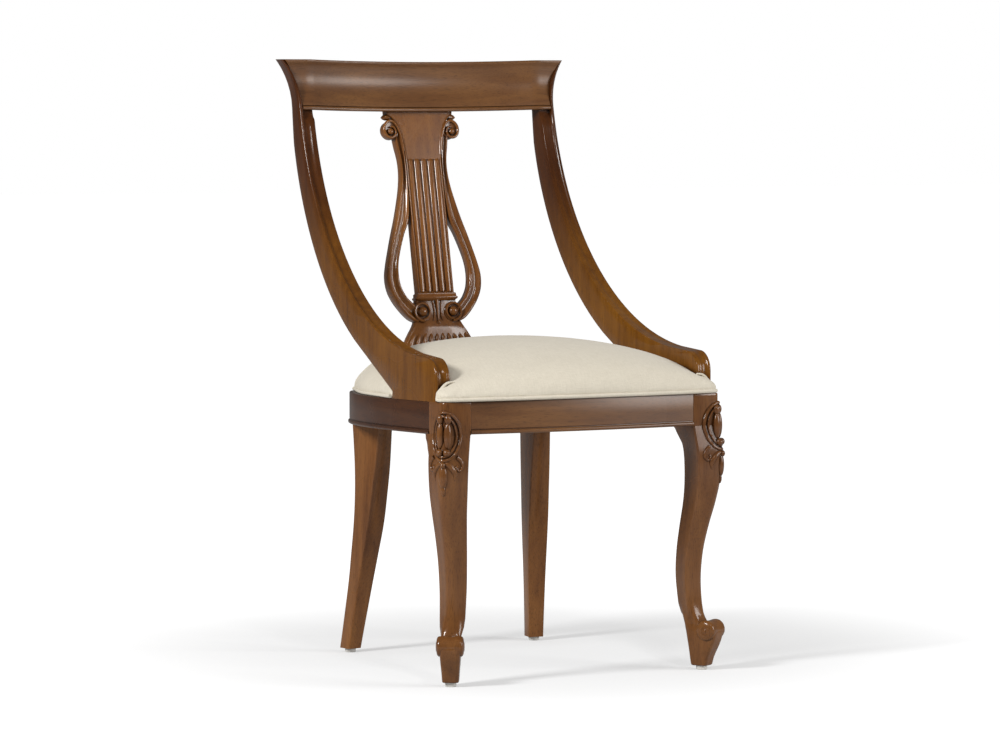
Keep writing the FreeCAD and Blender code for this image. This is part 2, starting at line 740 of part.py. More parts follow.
# Corner blocks, cut to the rails and legs that they are glued into.
def makeBlocks():
    innerX = frameHalfWidth - railThickness
    innerY = frameFront + railThickness
    front = polygon([Vec(innerX + 6, innerY - 6, 0), Vec(innerX + 6, innerY + blockLeg + 34, 0),
                     Vec(innerX - blockLeg - 34, innerY - 6, 0)])
    rearX = rearHalfWidth - railThickness
    rearY = rearCorner - railThickness
    rear = polygon([Vec(rearX + 40, rearY + 12, 0), Vec(rearX - blockLeg, rearY + 12, 0),
                    Vec(rearX - blockLeg + 20, rearY - 10, 0), Vec(rearX + 30, rearY - blockLeg, 0),
                    Vec(rearX + 60, rearY - blockLeg, 0)])
    frontSlab = slab(blockSetUp, blockSetUp + blockThickness)
    rearSlab = slab(0.0, blockSetUp + blockThickness)
    block = front.extrude(Vec(0, 0, 500)).common(frontSlab)
    for name in ("front_rail", "left_side_rail", "left_front_leg"):
        block = block.cut(parts[name])
    parts["left_front_block"] = block
    block = rear.extrude(Vec(0, 0, 500)).common(rearSlab)
    for name in ("rear_rail", "left_side_rail"):
        block = block.cut(parts[name])
    parts["left_rear_block"] = max(block.Solids, key=lambda s: s.Volume)


def screw(tip, direction, length):
    # A countersunk screw: direction runs from the head to the tip.
    direction = Vec(direction)
    direction.normalize()
    head = tip - direction * length
    shank = rod(head, direction, length, screwRadius)
    cone = Part.makeCone(screwHeadRadius, screwRadius, screwHeadHeight, head, direction)
    return shank.fuse(cone).removeSplitter()


def screwHole(tip, direction, length):
    direction = Vec(direction)
    direction.normalize()
    head = tip - direction * length
    shank = rod(head, direction, length + holeSpare, screwRadius + screwFit)
    cone = Part.makeCone(screwHeadRadius + screwFit, screwRadius + screwFit, screwHeadHeight, head, direction)
    mouth = rod(head - direction * 60, direction, 60, screwHeadRadius + screwFit)
    return shank.fuse([cone, mouth])


def bore(tool, names):
    for name in names:
        parts[name] = parts[name].cut(tool)


def bothSides(solids):
    return Part.makeCompound(solids + [mirrored(s) for s in solids])


def addDowels(group, middles, direction, names, length=dowelLength):
    solids = []
    for middle in middles:
        start = middle - direction * (length / 2)
        pin = rod(start, direction, length, dowelRadius)
        solids.append(pin)
        hole = rod(start - direction * holeSpare / 2, direction, length + holeSpare, dowelRadius + dowelFit)
        bore(hole, names)
    parts[group] = bothSides(solids)


def pair(x, y, z, apart):
    return [Vec(x, y, z) - apart * (dowelSpacing / 2), Vec(x, y, z) + apart * (dowelSpacing / 2)]


def makeJoints():
    up = Vec(0, 0, 1)
    alongX = Vec(1, 0, 0)
    alongY = Vec(0, 1, 0)
    railMiddle = railBottom + railHeight / 2
    postInner = frameHalfWidth - postSide
    postRear = frameFront + postSide
    frontY = frameFront + railThickness / 2
    sideX = frameHalfWidth - railThickness / 2 - 0.5
    bothFront = [Vec(postInner, frontY, railMiddle) - up * (dowelSpacing / 2),
                 Vec(postInner, frontY, railMiddle) + up * (dowelSpacing / 2)]
    addDowels("front_rail_dowels", bothFront, alongX, ["front_rail", "left_front_leg"])
    addDowels("side_rail_dowels", pair(sideX, postRear, railMiddle - 1, up), alongY,
              ["left_side_rail", "left_front_leg"])
    rearX = rearHalfWidth - railThickness - 3.0
    rearY = rearCorner - railThickness / 2 + 3.0
    rearMiddle = seatPlaneZ(rearY) - railHeight / 2
    addDowels("rear_rail_dowels", pair(rearX, rearY, rearMiddle, up), alongX,
              ["rear_rail", "left_side_rail", "left_rear_block"])
    heel = noseFront + footLength
    footMiddles = []
    for y in (noseFront + 54, heel - 34):
        x = uprightPivotX - uprightThickness / 2 + (uprightPivotY - y) * math.tan(math.radians(uprightToe))
        footMiddles.append(Vec(x, y, seatPlaneZ(y)))
    addDowels("upright_dowels", footMiddles, up, ["left_upright", "left_side_rail"])
    crestX = uprightPivotX - uprightThickness
    crestY = frontTopY() + uprightTopDepth / 2 - 3
    crestZ = backTop - crestHeight / 2
    addDowels("crest_dowels", pair(crestX, crestY, crestZ, up + alongY * 0.2), alongX,
              ["crest_rail", "left_upright"])
    legMiddles = []
    turn = math.radians(rearLegTurn)
    for step in (-18, 12):
        x = rearLegX + math.sin(turn) * step
        y = rearLegY + math.cos(turn) * step
        legMiddles.append(Vec(x, y, seatPlaneZ(y) - railHeight))
    addDowels("rear_leg_dowels", legMiddles, up, ["left_rear_leg", "left_side_rail", "left_rear_block", "rear_rail"])


def makeSeat():
    coverNotch = notches(notchGap)
    foamNotch = notches(notchGap + coverThickness)
    foamNotchLoose = notches(notchGap + coverThickness + softGap)
    boardTop = railHeight + boardThickness
    boardRadius = weltCornerRadius - 4
    board = outlinePrism(-boardInset, railHeight, boardTop, boardRadius)
    parts["seat_board"] = board.cut(notches(notchGap + weltSize + 2 * softGap))
    boardSpace = outlinePrism(softGap - boardInset, railHeight, boardTop + softGap, boardRadius)
    form = cushionForm(0.0)
    inner = cushionForm(-coverThickness).cut(foamNotch)
    cover = form.cut(coverNotch).cut(inner)
    cover = cover.cut([weltBand(softGap), aboveSeat(-30.0, softGap), boardSpace])
    parts["seat_cover"] = cover
    foam = cushionForm(-coverThickness - softGap).cut(foamNotchLoose)
    parts["seat_foam"] = foam.cut(aboveSeat(-30.0, boardThickness + softGap))
    parts["seat_welt"] = weltBand(0.0).cut(aboveSeat(-30.0, softGap))
    dust = outlinePrism(-railThickness - 6.0, railHeight - dustCoverThickness, railHeight, 8.0)
    postInner = frameHalfWidth - postSide - 1.0
    posts = [box(postInner, 400, -100, frameFront + postSide + 1.0, 300, 500)]
    parts["dust_cover"] = dust.cut(posts + [mirrored(posts[0])])


# The cushion: outlines at rising heights as (share of the crown, growth, scale), drawn in
# under the edge and closing to the crown.
cushionLevels = ((0.0, 2.0, 1.0), (0.10, 2.2, 1.0), (0.22, 4.5, 1.0), (0.36, 3.5, 1.0), (0.50, -2.5, 1.0),
                 (0.63, -4.0, 0.95), (0.76, -4.0, 0.86), (0.88, -4.0, 0.71), (0.96, -4.0, 0.47),
                 (0.995, -4.0, 0.22))


def cushionForm(grow):
    sections = []
    for share, out, scale in cushionLevels:
        height = railTop + share * (seatCrown + grow)
        sections.append(seatOutline(out + grow, height, 22.0, scale))
    form = Part.makeLoft(sections, True, True)
    form.rotate(Vec(0, 0, railTop), Vec(1, 0, 0), -seatSlope)
    return form


def footClearance(gap):
    # The upright's lower end grown by a gap on every side, open to the outside.
    profile = uprightProfile(0)
    grown = profile.makeOffset2D(gap)
    thick = grown.extrude(Vec(uprightThickness + 60 + gap, 0, 0))
    thick.translate(Vec(-gap, 0, 0))
    thick = thick.common(box(-100, 200, -100, 700, railTop - 60, railTop + seatCrown + 60))
    foot = box(-gap, uprightThickness + 60, noseFront - gap, noseFront + footLength + gap,
               railTop - 60, railTop + heelRise)
    one = toUprightPlace(thick.fuse(foot))
    return one.fuse(mirrored(one))


def splatClearance(gap):
    # The space of the splat's foot grown by a gap, open to the back.
    wide = splatFootHalf + gap
    block = box(-wide, wide, -splatThickness / 2 - gap, 60, -60, 160)
    block.rotate(Vec(0, 0, 0), Vec(1, 0, 0), -splatLean())
    block.translate(Vec(0, splatBaseY, splatFootZ()))
    return block


def notches(gap):
    return footClearance(gap).fuse(splatClearance(gap))


def weltBand(grow):
    outer = outlinePrism(weltProud + grow, railHeight, railHeight + weltSize + grow, weltCornerRadius)
    inner = outlinePrism(weltProud - weltSize - grow, railHeight - 5, railHeight + weltSize + 9,
                         weltCornerRadius - 4)
    around = notches(notchGap + weltSize + grow).common(outer)
    band = outer.cut(inner).fuse(around)
    return band.cut(notches(notchGap - grow))


def makeScrews():
    up = Vec(0, 0, 1)
    out = Vec(1, -1, 0)
    back = Vec(1, 1.6, 0)
    cx, cy = legCentre()
    blockZ = railBottom + blockSetUp + blockThickness / 2
    frontTip = Vec(cx + 4, cy - 4, blockZ)
    rearTip = Vec(rearHalfWidth - 12, rearCorner - 10, blockZ - slope * rearCorner)
    legScrews = [screw(frontTip, out, frontScrewLength), screw(rearTip, back, rearScrewLength)]
    bore(screwHole(frontTip, out, frontScrewLength), ["left_front_leg", "left_front_block"])
    bore(screwHole(rearTip, back, rearScrewLength), ["left_side_rail", "left_rear_block", "rear_rail"])
    parts["block_screws"] = bothSides(legScrews)
    seatScrews = []
    spots = ((frameHalfWidth - railThickness - 44, frameFront + railThickness + 12, "left_front_block"),
             (rearHalfWidth - railThickness - 34, rearCorner - railThickness - 6, "left_rear_block"))
    for x, y, block in spots:
        tip = Vec(x, y, seatPlaneZ(y) + boardThickness - 3)
        seatScrews.append(screw(tip, up, seatScrewLength))
        bore(screwHole(tip, up, seatScrewLength), [block])
        other = mirrored(screwHole(tip, up, seatScrewLength))
        bore(screwHole(tip, up, seatScrewLength), ["seat_board", "dust_cover"])
        bore(other, ["seat_board", "dust_cover"])
    parts["seat_screws"] = bothSides(seatScrews)


def finishPairs():
    for name in ("front_leg", "rear_leg", "side_rail", "upright", "front_block", "rear_block"):
        parts["right_" + name] = mirrored(parts["left_" + name])
    for name in ("front_rail", "rear_rail", "crest_rail"):
        half = parts[name].common(box(0, 400, -200, 800, 0, 1000))
        parts[name] = half.fuse(mirrored(half)).removeSplitter()


def export():
    os.makedirs("parts", exist_ok=True)
    whole = FreeCAD.BoundBox()
    for shape in parts.values():
        whole.add(shape.optimalBoundingBox(False, False))
    middle = (whole.YMin + whole.YMax) / 2
    for name, shape in parts.items():
        moved(shape, 0, -middle, -whole.ZMin).exportStep("parts/" + name + ".step")
        solids = len(shape.Solids)
        print(name, "solids", solids, "valid", shape.isValid(), "volume", round(shape.Volume / 1000, 1))
    print("box", round(whole.XLength, 1), round(whole.YLength, 1), round(whole.ZLength, 1), "middle", middle)


makeRails()
makeLegs()
makeBack()
makeBlocks()
makeJoints()
makeSeat()
makeScrews()
finishPairs()
export()
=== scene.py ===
import math

import bmesh
import bpy
from mathutils import Matrix, Vector


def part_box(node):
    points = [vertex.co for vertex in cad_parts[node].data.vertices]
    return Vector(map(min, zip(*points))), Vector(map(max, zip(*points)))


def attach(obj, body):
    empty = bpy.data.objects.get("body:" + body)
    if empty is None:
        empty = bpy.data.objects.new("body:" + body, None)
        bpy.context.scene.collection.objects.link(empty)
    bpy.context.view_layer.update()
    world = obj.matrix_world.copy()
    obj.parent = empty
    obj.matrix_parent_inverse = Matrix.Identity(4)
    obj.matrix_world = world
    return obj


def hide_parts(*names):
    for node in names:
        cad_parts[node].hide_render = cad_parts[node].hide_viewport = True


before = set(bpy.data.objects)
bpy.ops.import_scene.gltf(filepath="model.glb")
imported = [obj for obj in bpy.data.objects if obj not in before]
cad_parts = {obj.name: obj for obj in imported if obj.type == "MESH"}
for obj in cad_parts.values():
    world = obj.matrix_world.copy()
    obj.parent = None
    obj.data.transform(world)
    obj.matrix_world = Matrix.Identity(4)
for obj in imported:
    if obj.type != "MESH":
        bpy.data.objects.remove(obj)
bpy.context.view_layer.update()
mm = 0.001
glideLow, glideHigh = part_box("left_front_glide")
glideLine = (glideLow.y + glideHigh.y) / 2
# Shapes are drawn in millimetres with Y = 0 at the front feet, then moved onto the frame.
toFrame = Matrix.Translation((0, glideLine - 0.5 * mm, 0)) @ Matrix.Scale(mm, 4)

seat = {"railTop": 415, "fall": math.tan(math.radians(1.32)), "railHeight": 47.5,
        "railThickness": 24, "halfWidth": 232, "front": -16, "bow": 17,
        "breakY": 156, "breakX": 228.5, "rearX": 158, "rearY": 434, "rearBow": 13}
backTop = 914
crestBottom = 836


# Small tools

def seatZ(y):
    return seat["railTop"] - seat["fall"] * y


def blendRows(rows, steps):
    # A smooth run through rows of numbers, by Catmull-Rom, with steps rows between each pair.
    out = []
    for i in range(len(rows) - 1):
        a = rows[max(i - 1, 0)]
        b = rows[i]
        c = rows[i + 1]
        d = rows[min(i + 2, len(rows) - 1)]
        for k in range(steps):
            t = k / steps
            out.append(tuple(0.5 * (2 * q + (r - p) * t + (2 * p - 5 * q + 4 * r - s) * t * t
                                    + (3 * q - p - 3 * r + s) * t ** 3)
                             for p, q, r, s in zip(a, b, c, d)))
    out.append(tuple(rows[-1]))
    return out


def arcPoints(centre, radius, start, end, count):
    # Points on an arc, angles in degrees.
    out = []
    for i in range(count + 1):
        a = math.radians(start + (end - start) * i / count)
        out.append((centre[0] + radius * math.cos(a), centre[1] + radius * math.sin(a)))
    return out


def mixPoints(a, b, count):
    return [tuple(p + (q - p) * i / count for p, q in zip(a, b)) for i in range(count + 1)]


def mix(a, b, share):
    return a + (b - a) * share


def ease(t):
    # A smooth start and stop between 0 and 1.
    return t * t * (3 - 2 * t)


def between(rows, value):
    # Straight runs through rows of (value, result).
    for (low, a), (high, b) in zip(rows, rows[1:]):
        if value <= high:
            return a + (b - a) * max(0, value - low) / (high - low)
    return rows[-1][1]


def circle(sides):
    # Cosine and sine at even steps round a circle.
    return [(math.cos(2 * math.pi * k / sides), math.sin(2 * math.pi * k / sides)) for k in range(sides)]


def skin(bm, rings, capped=True):
    # Bridges closed rings of points, one after another, and closes both ends.
    loops = []
    for points in rings:
        verts = [bm.verts.new(p) for p in points]
        loops.append((verts, [bm.edges.new((verts[i - 1], verts[i])) for i in range(len(verts))]))
    for (_, near), (_, far) in zip(loops, loops[1:]):
        bmesh.ops.bridge_loops(bm, edges=near + far)
    if capped:
        bm.faces.new(loops[0][0])
        bm.faces.new(loops[-1][0])


def tube(bm, path, radius, sides=10, closed=False):
    # A round tube along a path; radius is a number or one per point.
    rings = []
    up = Vector((0, 0, 1))
    count = len(path)
    side = None
    for i, p in enumerate(path):
        p = Vector(p)
        if closed:
            ahead = Vector(path[(i + 1) % count]) - Vector(path[i - 1])
        else:
            ahead = Vector(path[min(i + 1, count - 1)]) - Vector(path[max(i - 1, 0)])
        ahead.normalize()
        if side is None:
            side = ahead.cross(up if abs(ahead.z) < 0.9 else Vector((1, 0, 0)))
        side = (side - ahead * side.dot(ahead)).normalized()
        other = ahead.cross(side)
        r = radius[i] if isinstance(radius, (list, tuple)) else radius
        rings.append([p + (side * c + other * s) * r for c, s in circle(sides)])
    if closed:
        rings.append(rings[0])
    skin(bm, rings, capped=not closed)


def ball(bm, place, size, turn=None, segments=20):
    # An ellipsoid: size is its half lengths, turn a rotation matrix.
    matrix = Matrix.Translation(Vector(place))
    if turn is not None:
        matrix = matrix @ turn.to_4x4()
    matrix = matrix @ Matrix.Diagonal((size[0], size[1], size[2], 1))
    bmesh.ops.create_uvsphere(bm, u_segments=segments, v_segments=segments // 2 + 2, radius=1,
                              matrix=matrix)


def makeObject(name, build, mirror=False, weld=False):
    bm = bmesh.new()
    build(bm)
    if mirror:
        bmesh.ops.scale(bm, vec=(-1, 1, 1), verts=bm.verts)
    if weld:
        bmesh.ops.remove_doubles(bm, verts=bm.verts, dist=0.01)
    bmesh.ops.recalc_face_normals(bm, faces=bm.faces)
    bmesh.ops.transform(bm, matrix=toFrame, verts=bm.verts)
    mesh = bpy.data.meshes.new(name)
    bm.to_mesh(mesh)
    bm.free()
    thing = bpy.data.objects.new(name, mesh)
    bpy.context.scene.collection.objects.link(thing)
    return thing


def makePiece(name, build, finish, node, sharp=36, mirror=False):
    piece = makeObject(name, build, mirror, weld=True)
    piece.data.shade_smooth()
    piece.data.set_sharp_from_angle(angle=math.radians(sharp))
    piece.data.materials.append(finish)
    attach(piece, "root")
    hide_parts(node)


def makePair(name, build, finish, node):
    for side in ("left", "right"):
        makePiece(side + name, build, finish, side + "_" + node, mirror=(side == "right"))


# Materials: a socket that takes part in sums, and one way to add any node.

class Wire:
    def __init__(self, tree, socket):
        self.tree = tree
        self.socket = socket

    def sum(self, operation, first, second):
        return addNode(self.tree, "Math", {"operation": operation}, {0: first, 1: second})

    def __add__(self, other):
        return self.sum("ADD", self, other)

    def __radd__(self, other):
        return self.sum("ADD", other, self)

    def __sub__(self, other):
        return self.sum("SUBTRACT", self, other)

    def __rsub__(self, other):
        return self.sum("SUBTRACT", other, self)

    def __mul__(self, other):
        return self.sum("MULTIPLY", self, other)

    def __rmul__(self, other):
        return self.sum("MULTIPLY", other, self)

    def feed(self, node, key):
        self.tree.links.new(self.socket, node.inputs[key])


def addNode(tree, kind, settings=None, inputs=None, output=0):
    node = tree.nodes.new("ShaderNode" + kind)
    for key, value in (settings or {}).items():
        if key == "stops":
            ramp = node.color_ramp
            while len(ramp.elements) < len(value):
                ramp.elements.new(0.5)
            for element, (position, colour) in zip(ramp.elements, value):
                element.position = position
                element.color = (*colour, 1)
        else:
            setattr(node, key, value)
    for key, value in (inputs or {}).items():
        if isinstance(value, Wire):
            value.feed(node, key)
        else:
            node.inputs[key].default_value = value
    return Wire(tree, node.outputs[output])


def addNoise(tree, place, scale, detail, **more):
    return addNode(tree, "TexNoise", {}, {"Vector": place, "Scale": scale, "Detail": detail, **more})


def addRange(tree, value, low, high, start, end, kind="LINEAR"):
    return addNode(tree, "MapRange", {"interpolation_type": kind},
                   {0: value, 1: low, 2: high, 3: start, 4: end})


def addBump(tree, shader, strength, distance, height):
    bump = addNode(tree, "Bump", {}, {"Strength": strength, "Distance": distance, "Height": height})
    bump.feed(shader, "Normal")


def addShadeTint(tree, colour, share, tint):
    # The colour multiplied by a tint, as far as the share says; here it paints shade.
    deep = addNode(tree, "VectorMath", {"operation": "MULTIPLY"}, {0: colour, 1: tint})
    return addNode(tree, "Mix", {"data_type": "RGBA"}, {0: share, 6: colour, 7: deep}, output=2)


def newFinish(name, plain):
    finish = bpy.data.materials.new(name)
    finish.use_nodes = True
    tree = finish.node_tree
    shader = tree.nodes["Principled BSDF"]
    for key, value in plain.items():
        shader.inputs[key].default_value = value
    return finish, tree, shader


# The tints after the colours are painted shade: one darkens the hollows, one the uprights' tops.
wood = {"dark": (0.070, 0.024, 0.0052), "middle": (0.122, 0.045, 0.0090),
        "light": (0.190, 0.077, 0.0155), "hollowShade": (0.20, 0.15, 0.13), "top": (0.40, 0.31, 0.60),
        "roughness": 0.27, "grain": 80, "stretch": 0.05, "pores": 1100}


def woodFinish(name, axis, tone=(1, 1, 1), coat=0.24, sheen=0.16, shaded=False):
    # Polished mahogany with its grain along one axis: 0 across, 1 front to back, 2 upright.
    finish, tree, shader = newFinish(name, {"Specular IOR Level": 0.12,
                                            "Specular Tint": (1, 0.80, 0.66, 1),
                                            "Coat Weight": coat, "Coat Roughness": sheen})
    place = addNode(tree, "TexCoord", output=3)
    scale = [1, 1, 1]
    scale[axis] = wood["stretch"]
    along = addNode(tree, "Mapping", {}, {0: place, 3: tuple(scale)})
    broad = addNoise(tree, place, 5, 1)
    grain = addNoise(tree, along, wood["grain"], 5, Distortion=0.4)
    pores = addNoise(tree, along, wood["pores"], 2)
    mask = grain * 0.34 + broad * 0.34 + 0.16
    stops = ((0.34, wood["dark"]), (0.47, wood["middle"]), (0.66, wood["light"]))
    stops = tuple((at, tuple(c * t for c, t in zip(colour, tone))) for at, colour in stops)
    colour = addNode(tree, "ValToRGB", {"stops": stops}, {0: mask})
    line = addRange(tree, pores, 0.32, 0.46, 0.62, 1)
    pored = addNode(tree, "VectorMath", {"operation": "SCALE"}, {0: colour, "Scale": line})
    # Painted shade: the colour is darkened in the hollows of the carving and between parts, by ambient
    # occlusion.
    hollow = addNode(tree, "AmbientOcclusion", {"samples": 6}, {"Distance": 0.008}, output=1)
    shadedColour = addShadeTint(tree, pored, addRange(tree, hollow, 0.35, 0.85, 1, 0), wood["hollowShade"])
    if shaded:
        # Painted shade: the uprights are coloured darker and redder towards their tops.
        parts = tree.nodes.new("ShaderNodeSeparateXYZ")
        place.feed(parts, 0)
        high = addRange(tree, Wire(tree, parts.outputs[2]), 0.50, 0.76, 0, 1, "SMOOTHSTEP")
        shadedColour = addShadeTint(tree, shadedColour, high, wood["top"])
    shadedColour.feed(shader, "Base Color")
    rough = broad * 0.10 + (wood["roughness"] - 0.04)
    rough.feed(shader, "Roughness")
    addBump(tree, shader, 0.06, 0.0003, line)
    return finish


linen = {"light": (0.66, 0.605, 0.50), "dark": (0.535, 0.485, 0.39), "thread": 1500}


def linenFinish():
    finish, tree, shader = newFinish("linen", {"Roughness": 0.9, "Specular IOR Level": 0.2,
                                               "Sheen Weight": 0.15, "Sheen Roughness": 0.4})
    place = addNode(tree, "TexCoord", output=3)
    threads = []
    for stretch in ((1, 0.06, 0.06), (0.06, 1, 1)):
        laid = addNode(tree, "Mapping", {}, {0: place, 3: stretch})
        threads.append(addNoise(tree, laid, linen["thread"], 2))
    weave = threads[0] * 0.5 + threads[1] * 0.5
    slub = addNoise(tree, place, 35, 3)
    mask = weave * 0.8 + slub * 0.12 + 0.03
    stops = ((0.30, linen["dark"]), (0.62, linen["light"]))
    addNode(tree, "ValToRGB", {"stops": stops}, {0: mask}).feed(shader, "Base Color")
    addBump(tree, shader, 0.35, 0.0006, weave)
    return finish


mottle = {"scale": 60, "depth": 0.15}


def plainFinish(name, colour, roughness, metallic=0):
    # An even finish with a slight mottle.
    finish, tree, shader = newFinish(name, {"Metallic": metallic})
    place = addNode(tree, "TexCoord", output=3)
    noise = addNoise(tree, place, mottle["scale"], 4)
    low = tuple(c * (1 - mottle["depth"]) for c in colour)
    high = tuple(min(1, c * (1 + mottle["depth"])) for c in colour)
    addNode(tree, "ValToRGB", {"stops": ((0.3, low), (0.7, high))}, {0: noise}).feed(shader, "Base Color")
    rough = noise * 0.15 + (roughness - 0.07)
    rough.feed(shader, "Roughness")
    return finish


legGrain = woodFinish("mahoganyLeg", 2, (1.10, 1.10, 1.4), 0.65)
# Painted light: the rear legs are coloured brighter, standing in for the light on them.
rearLitGrain = woodFinish("mahoganyRear", 2, (1.45, 1.50, 2), 0.5)
acrossGrain = woodFinish("mahoganyAcross", 0, (0.95, 1, 1.4), 0.80, 0.36)
# Painted light: the splat is coloured brighter, standing in for the light on its up-turned face.
splatLitGrain = woodFinish("mahoganySplat", 2, (1.30, 1.22, 1.05), 0.90)
# Painted shade: the side rails are coloured darker, standing in for the shade on them.
sideShadedGrain = woodFinish("mahoganySide", 1, (0.42, 0.36, 0.5), 0.45, 0.22)
# The uprights carry painted shade, darker and redder towards their tops.
curvedGrain = woodFinish("mahoganyCurved", 2, (1.12, 1.08, 0.50), 0.45, shaded=True)
linenCloth = linenFinish()
beech = plainFinish("beech", (0.45, 0.30, 0.17), 0.6)
plywood = plainFinish("plywood", (0.52, 0.37, 0.22), 0.65)
steel = plainFinish("steel", (0.6, 0.6, 0.6), 0.35, 1)
nylon = plainFinish("nylon", (0.62, 0.60, 0.56), 0.5)
cambric = plainFinish("cambric", (0.03, 0.03, 0.03), 0.9)
print("materials made")


# Uprights: a curved board with a raised bead along its front edge; the crest laps over its top.
upright = {"thickness": 24, "pivotX": 222, "pivotY": 510, "toe": 1.1, "noseFront": 8,
           "noseRadius": 30, "noseTop": 477, "footLength": 148, "heel": 11,
           "armCentre": (43, 928), "armRadius": 450, "armStart": 6, "armEnd": 78.3,
           "underCentre": (56, 895), "underRadius": 466, "underStart": 30, "underEnd": 76,
           "topDepth": 23, "flareFoot": 840, "flareRadius": 124, "cover": 12}
innerX = upright["pivotX"] - upright["thickness"]
beadProfile = ((0, 3.9), (0.15, 3.1), (0.8, 2.6), (1.8, 2.3), (2.8, 2.3), (3.5, 2.4), (4, 2.5),
               (4.5, 2.4), (5.3, 2.3), (6.4, 2.3), (7.5, 2.4), (8.2, 2.5), (8.7, 2.7), (10.2, 3.2),
               (12, 3.7), (13.8, 3.9), (15.6, 3.7), (17.4, 3.1), (18.5, 2.2), (19, 1.3),
               (19.8, 0.35), (20.9, 0), (22.2, 0.3), (23.3, 1.2), (24, 2.8))


def flare(z):
    rise = max(0, z - upright["flareFoot"])
    r = upright["flareRadius"]
    return r - math.sqrt(r * r - rise * rise)


def sweep(centre, radius, angle):
    a = math.radians(angle)
    return (centre[0] + radius * math.sin(a), centre[1] - radius * math.cos(a))


def sweepRun(centre, radius, start, end, count):
    return [sweep(centre, radius, start + (end - start) * i / count) for i in range(count)]


def topFront():
    y, z = sweep(upright["armCentre"], upright["armRadius"], upright["armEnd"])
    return (y + (backTop - z) / math.tan(math.radians(upright["armEnd"])), backTop)


def uprightStations():
    # Matching points (y, z) on the front and the rear edge, from the rail to the top.
    u = upright
    nose = (u["noseFront"] + u["noseRadius"], u["noseTop"] - u["noseRadius"])
    heelY = u["noseFront"] + u["footLength"]
    heelTop = (heelY, seatZ(heelY) + u["heel"])
    armFoot = sweep(u["armCentre"], u["armRadius"], u["armStart"])
    armHead = sweep(u["armCentre"], u["armRadius"], u["armEnd"])
    underFoot = sweep(u["underCentre"], u["underRadius"], u["underStart"])
    underHead = sweep(u["underCentre"], u["underRadius"], u["underEnd"])
    frontTop = topFront()
    rearTop = (frontTop[0] + u["topDepth"], backTop)
    front = mixPoints((u["noseFront"], seatZ(u["noseFront"])), (u["noseFront"], nose[1]), 3)[:-1]
    front += arcPoints(nose, u["noseRadius"], 180, 90, 10)[:-1]
    front += mixPoints((nose[0], u["noseTop"]), armFoot, 3)[:-1]
    front += sweepRun(u["armCentre"], u["armRadius"], u["armStart"], 20, 8)
    front += sweepRun(u["armCentre"], u["armRadius"], 20, u["armEnd"], 34)
    front += mixPoints(armHead, frontTop, 12)
    turn = mixPoints(heelTop, underFoot, 21)
    rear = mixPoints((heelY, seatZ(heelY)), heelTop, 3)[:-1] + turn[:-1]
    rear += sweepRun(u["underCentre"], u["underRadius"], u["underStart"], u["underEnd"], 34)
    top = blendRows([sweep(u["underCentre"], u["underRadius"], 70), underHead, rearTop], 12)[12:]
    rear += top
    return list(zip(front, rear))


def placeUpright(across, y, z):
    # Turns the board's own plane to its toe-in.
    a = math.radians(upright["toe"])
    x = across - upright["thickness"]
    dy = y - upright["pivotY"]
    return (upright["pivotX"] + x * math.cos(a) - dy * math.sin(a),
            upright["pivotY"] + x * math.sin(a) + dy * math.cos(a), z)


def buildUpright(bm):
    rings = []
    thick = upright["thickness"]
    for (fy, fz), (ry, rz) in uprightStations():
        length = math.hypot(ry - fy, rz - fz)
        along = ((ry - fy) / length, (rz - fz) / length)
        covered = max(0, min(1, (fz - crestBottom + 1) / 2))
        section = []
        for across, depth in beadProfile:
            if across < 18.7:
                depth = depth + (upright["cover"] - depth) * covered
            section.append((across, depth))
        section += [(thick, length * 0.35), (thick, length * 0.7), (thick, length - 2.2),
                    (thick - 0.4, length - 0.7), (thick - 1.6, length), (thick * 0.5, length),
                    (1.6, length), (0.4, length - 0.7), (0, length - 2.2), (0, length * 0.7),
                    (0, length * 0.35)]
        ring = []
        for across, depth in section:
            y = fy + along[0] * depth
            z = fz + along[1] * depth
            wide = across + (flare(z) if across >= 18.5 else 0)
            ring.append(placeUpright(wide, y, z))
        rings.append(ring)
    skin(bm, rings)


makePair("Upright", buildUpright, curvedGrain, "upright")
print("uprights made")


# Crest rail: a hollowed face over a small bead, bowed back in plan.
crest = {"front": 512.5, "bow": 28, "hollow": 6.2, "lean": 15.2, "rearTop": 35.5, "rearFoot": 27,
         "lipZ": 900, "quirkZ": 843.4, "overlap": 18.6, "dip": 3.2, "blend": 70, "lap": 8}


def crestSection():
    # (depth behind the front line, height) round the section, from the bottom of the front.
    c = crest
    points = [(3, crestBottom), (0.9, 836.3), (-0.5, 837.5), (-0.9, 839.2), (-0.4, 840.8), (0.8, 842),
              (2.4, 842.5), (3.4, 843)]
    for i in range(17):
        t = i / 16
        z = c["quirkZ"] + (c["lipZ"] - c["quirkZ"]) * t
        points.append((1.9 + (c["lean"] - 2.6) * t + c["hollow"] * math.sin(math.pi * t ** 1.25), z))
    points += [(13.9, 903.6), (12.7, 906.6), (11.2, 909.2), (10.3, 911), (10.4, 912.6),
               (11.4, 913.7), (13, backTop),
               (24, backTop), (c["rearTop"] - 2, backTop), (c["rearTop"] - 0.5, 913.4),
               (c["rearTop"] - 0.1, 912), (c["rearFoot"] + 4, 876), (c["rearFoot"] + 0.2, 838),
               (c["rearFoot"] - 0.4, 836.6), (c["rearFoot"] - 2, crestBottom), (14, crestBottom)]
    return points


def crestFront(x):
    half = innerX
    radius = (half ** 2 + crest["bow"] ** 2) / (2 * crest["bow"])
    x = min(abs(x), half)
    return crest["front"] - (radius - math.sqrt(radius * radius - x * x))


def crestLap(depth, z):
    # How deep the lap over an upright is at that height.
    return min(depth, crest["lap"] + (z - crestBottom) * 0.19)


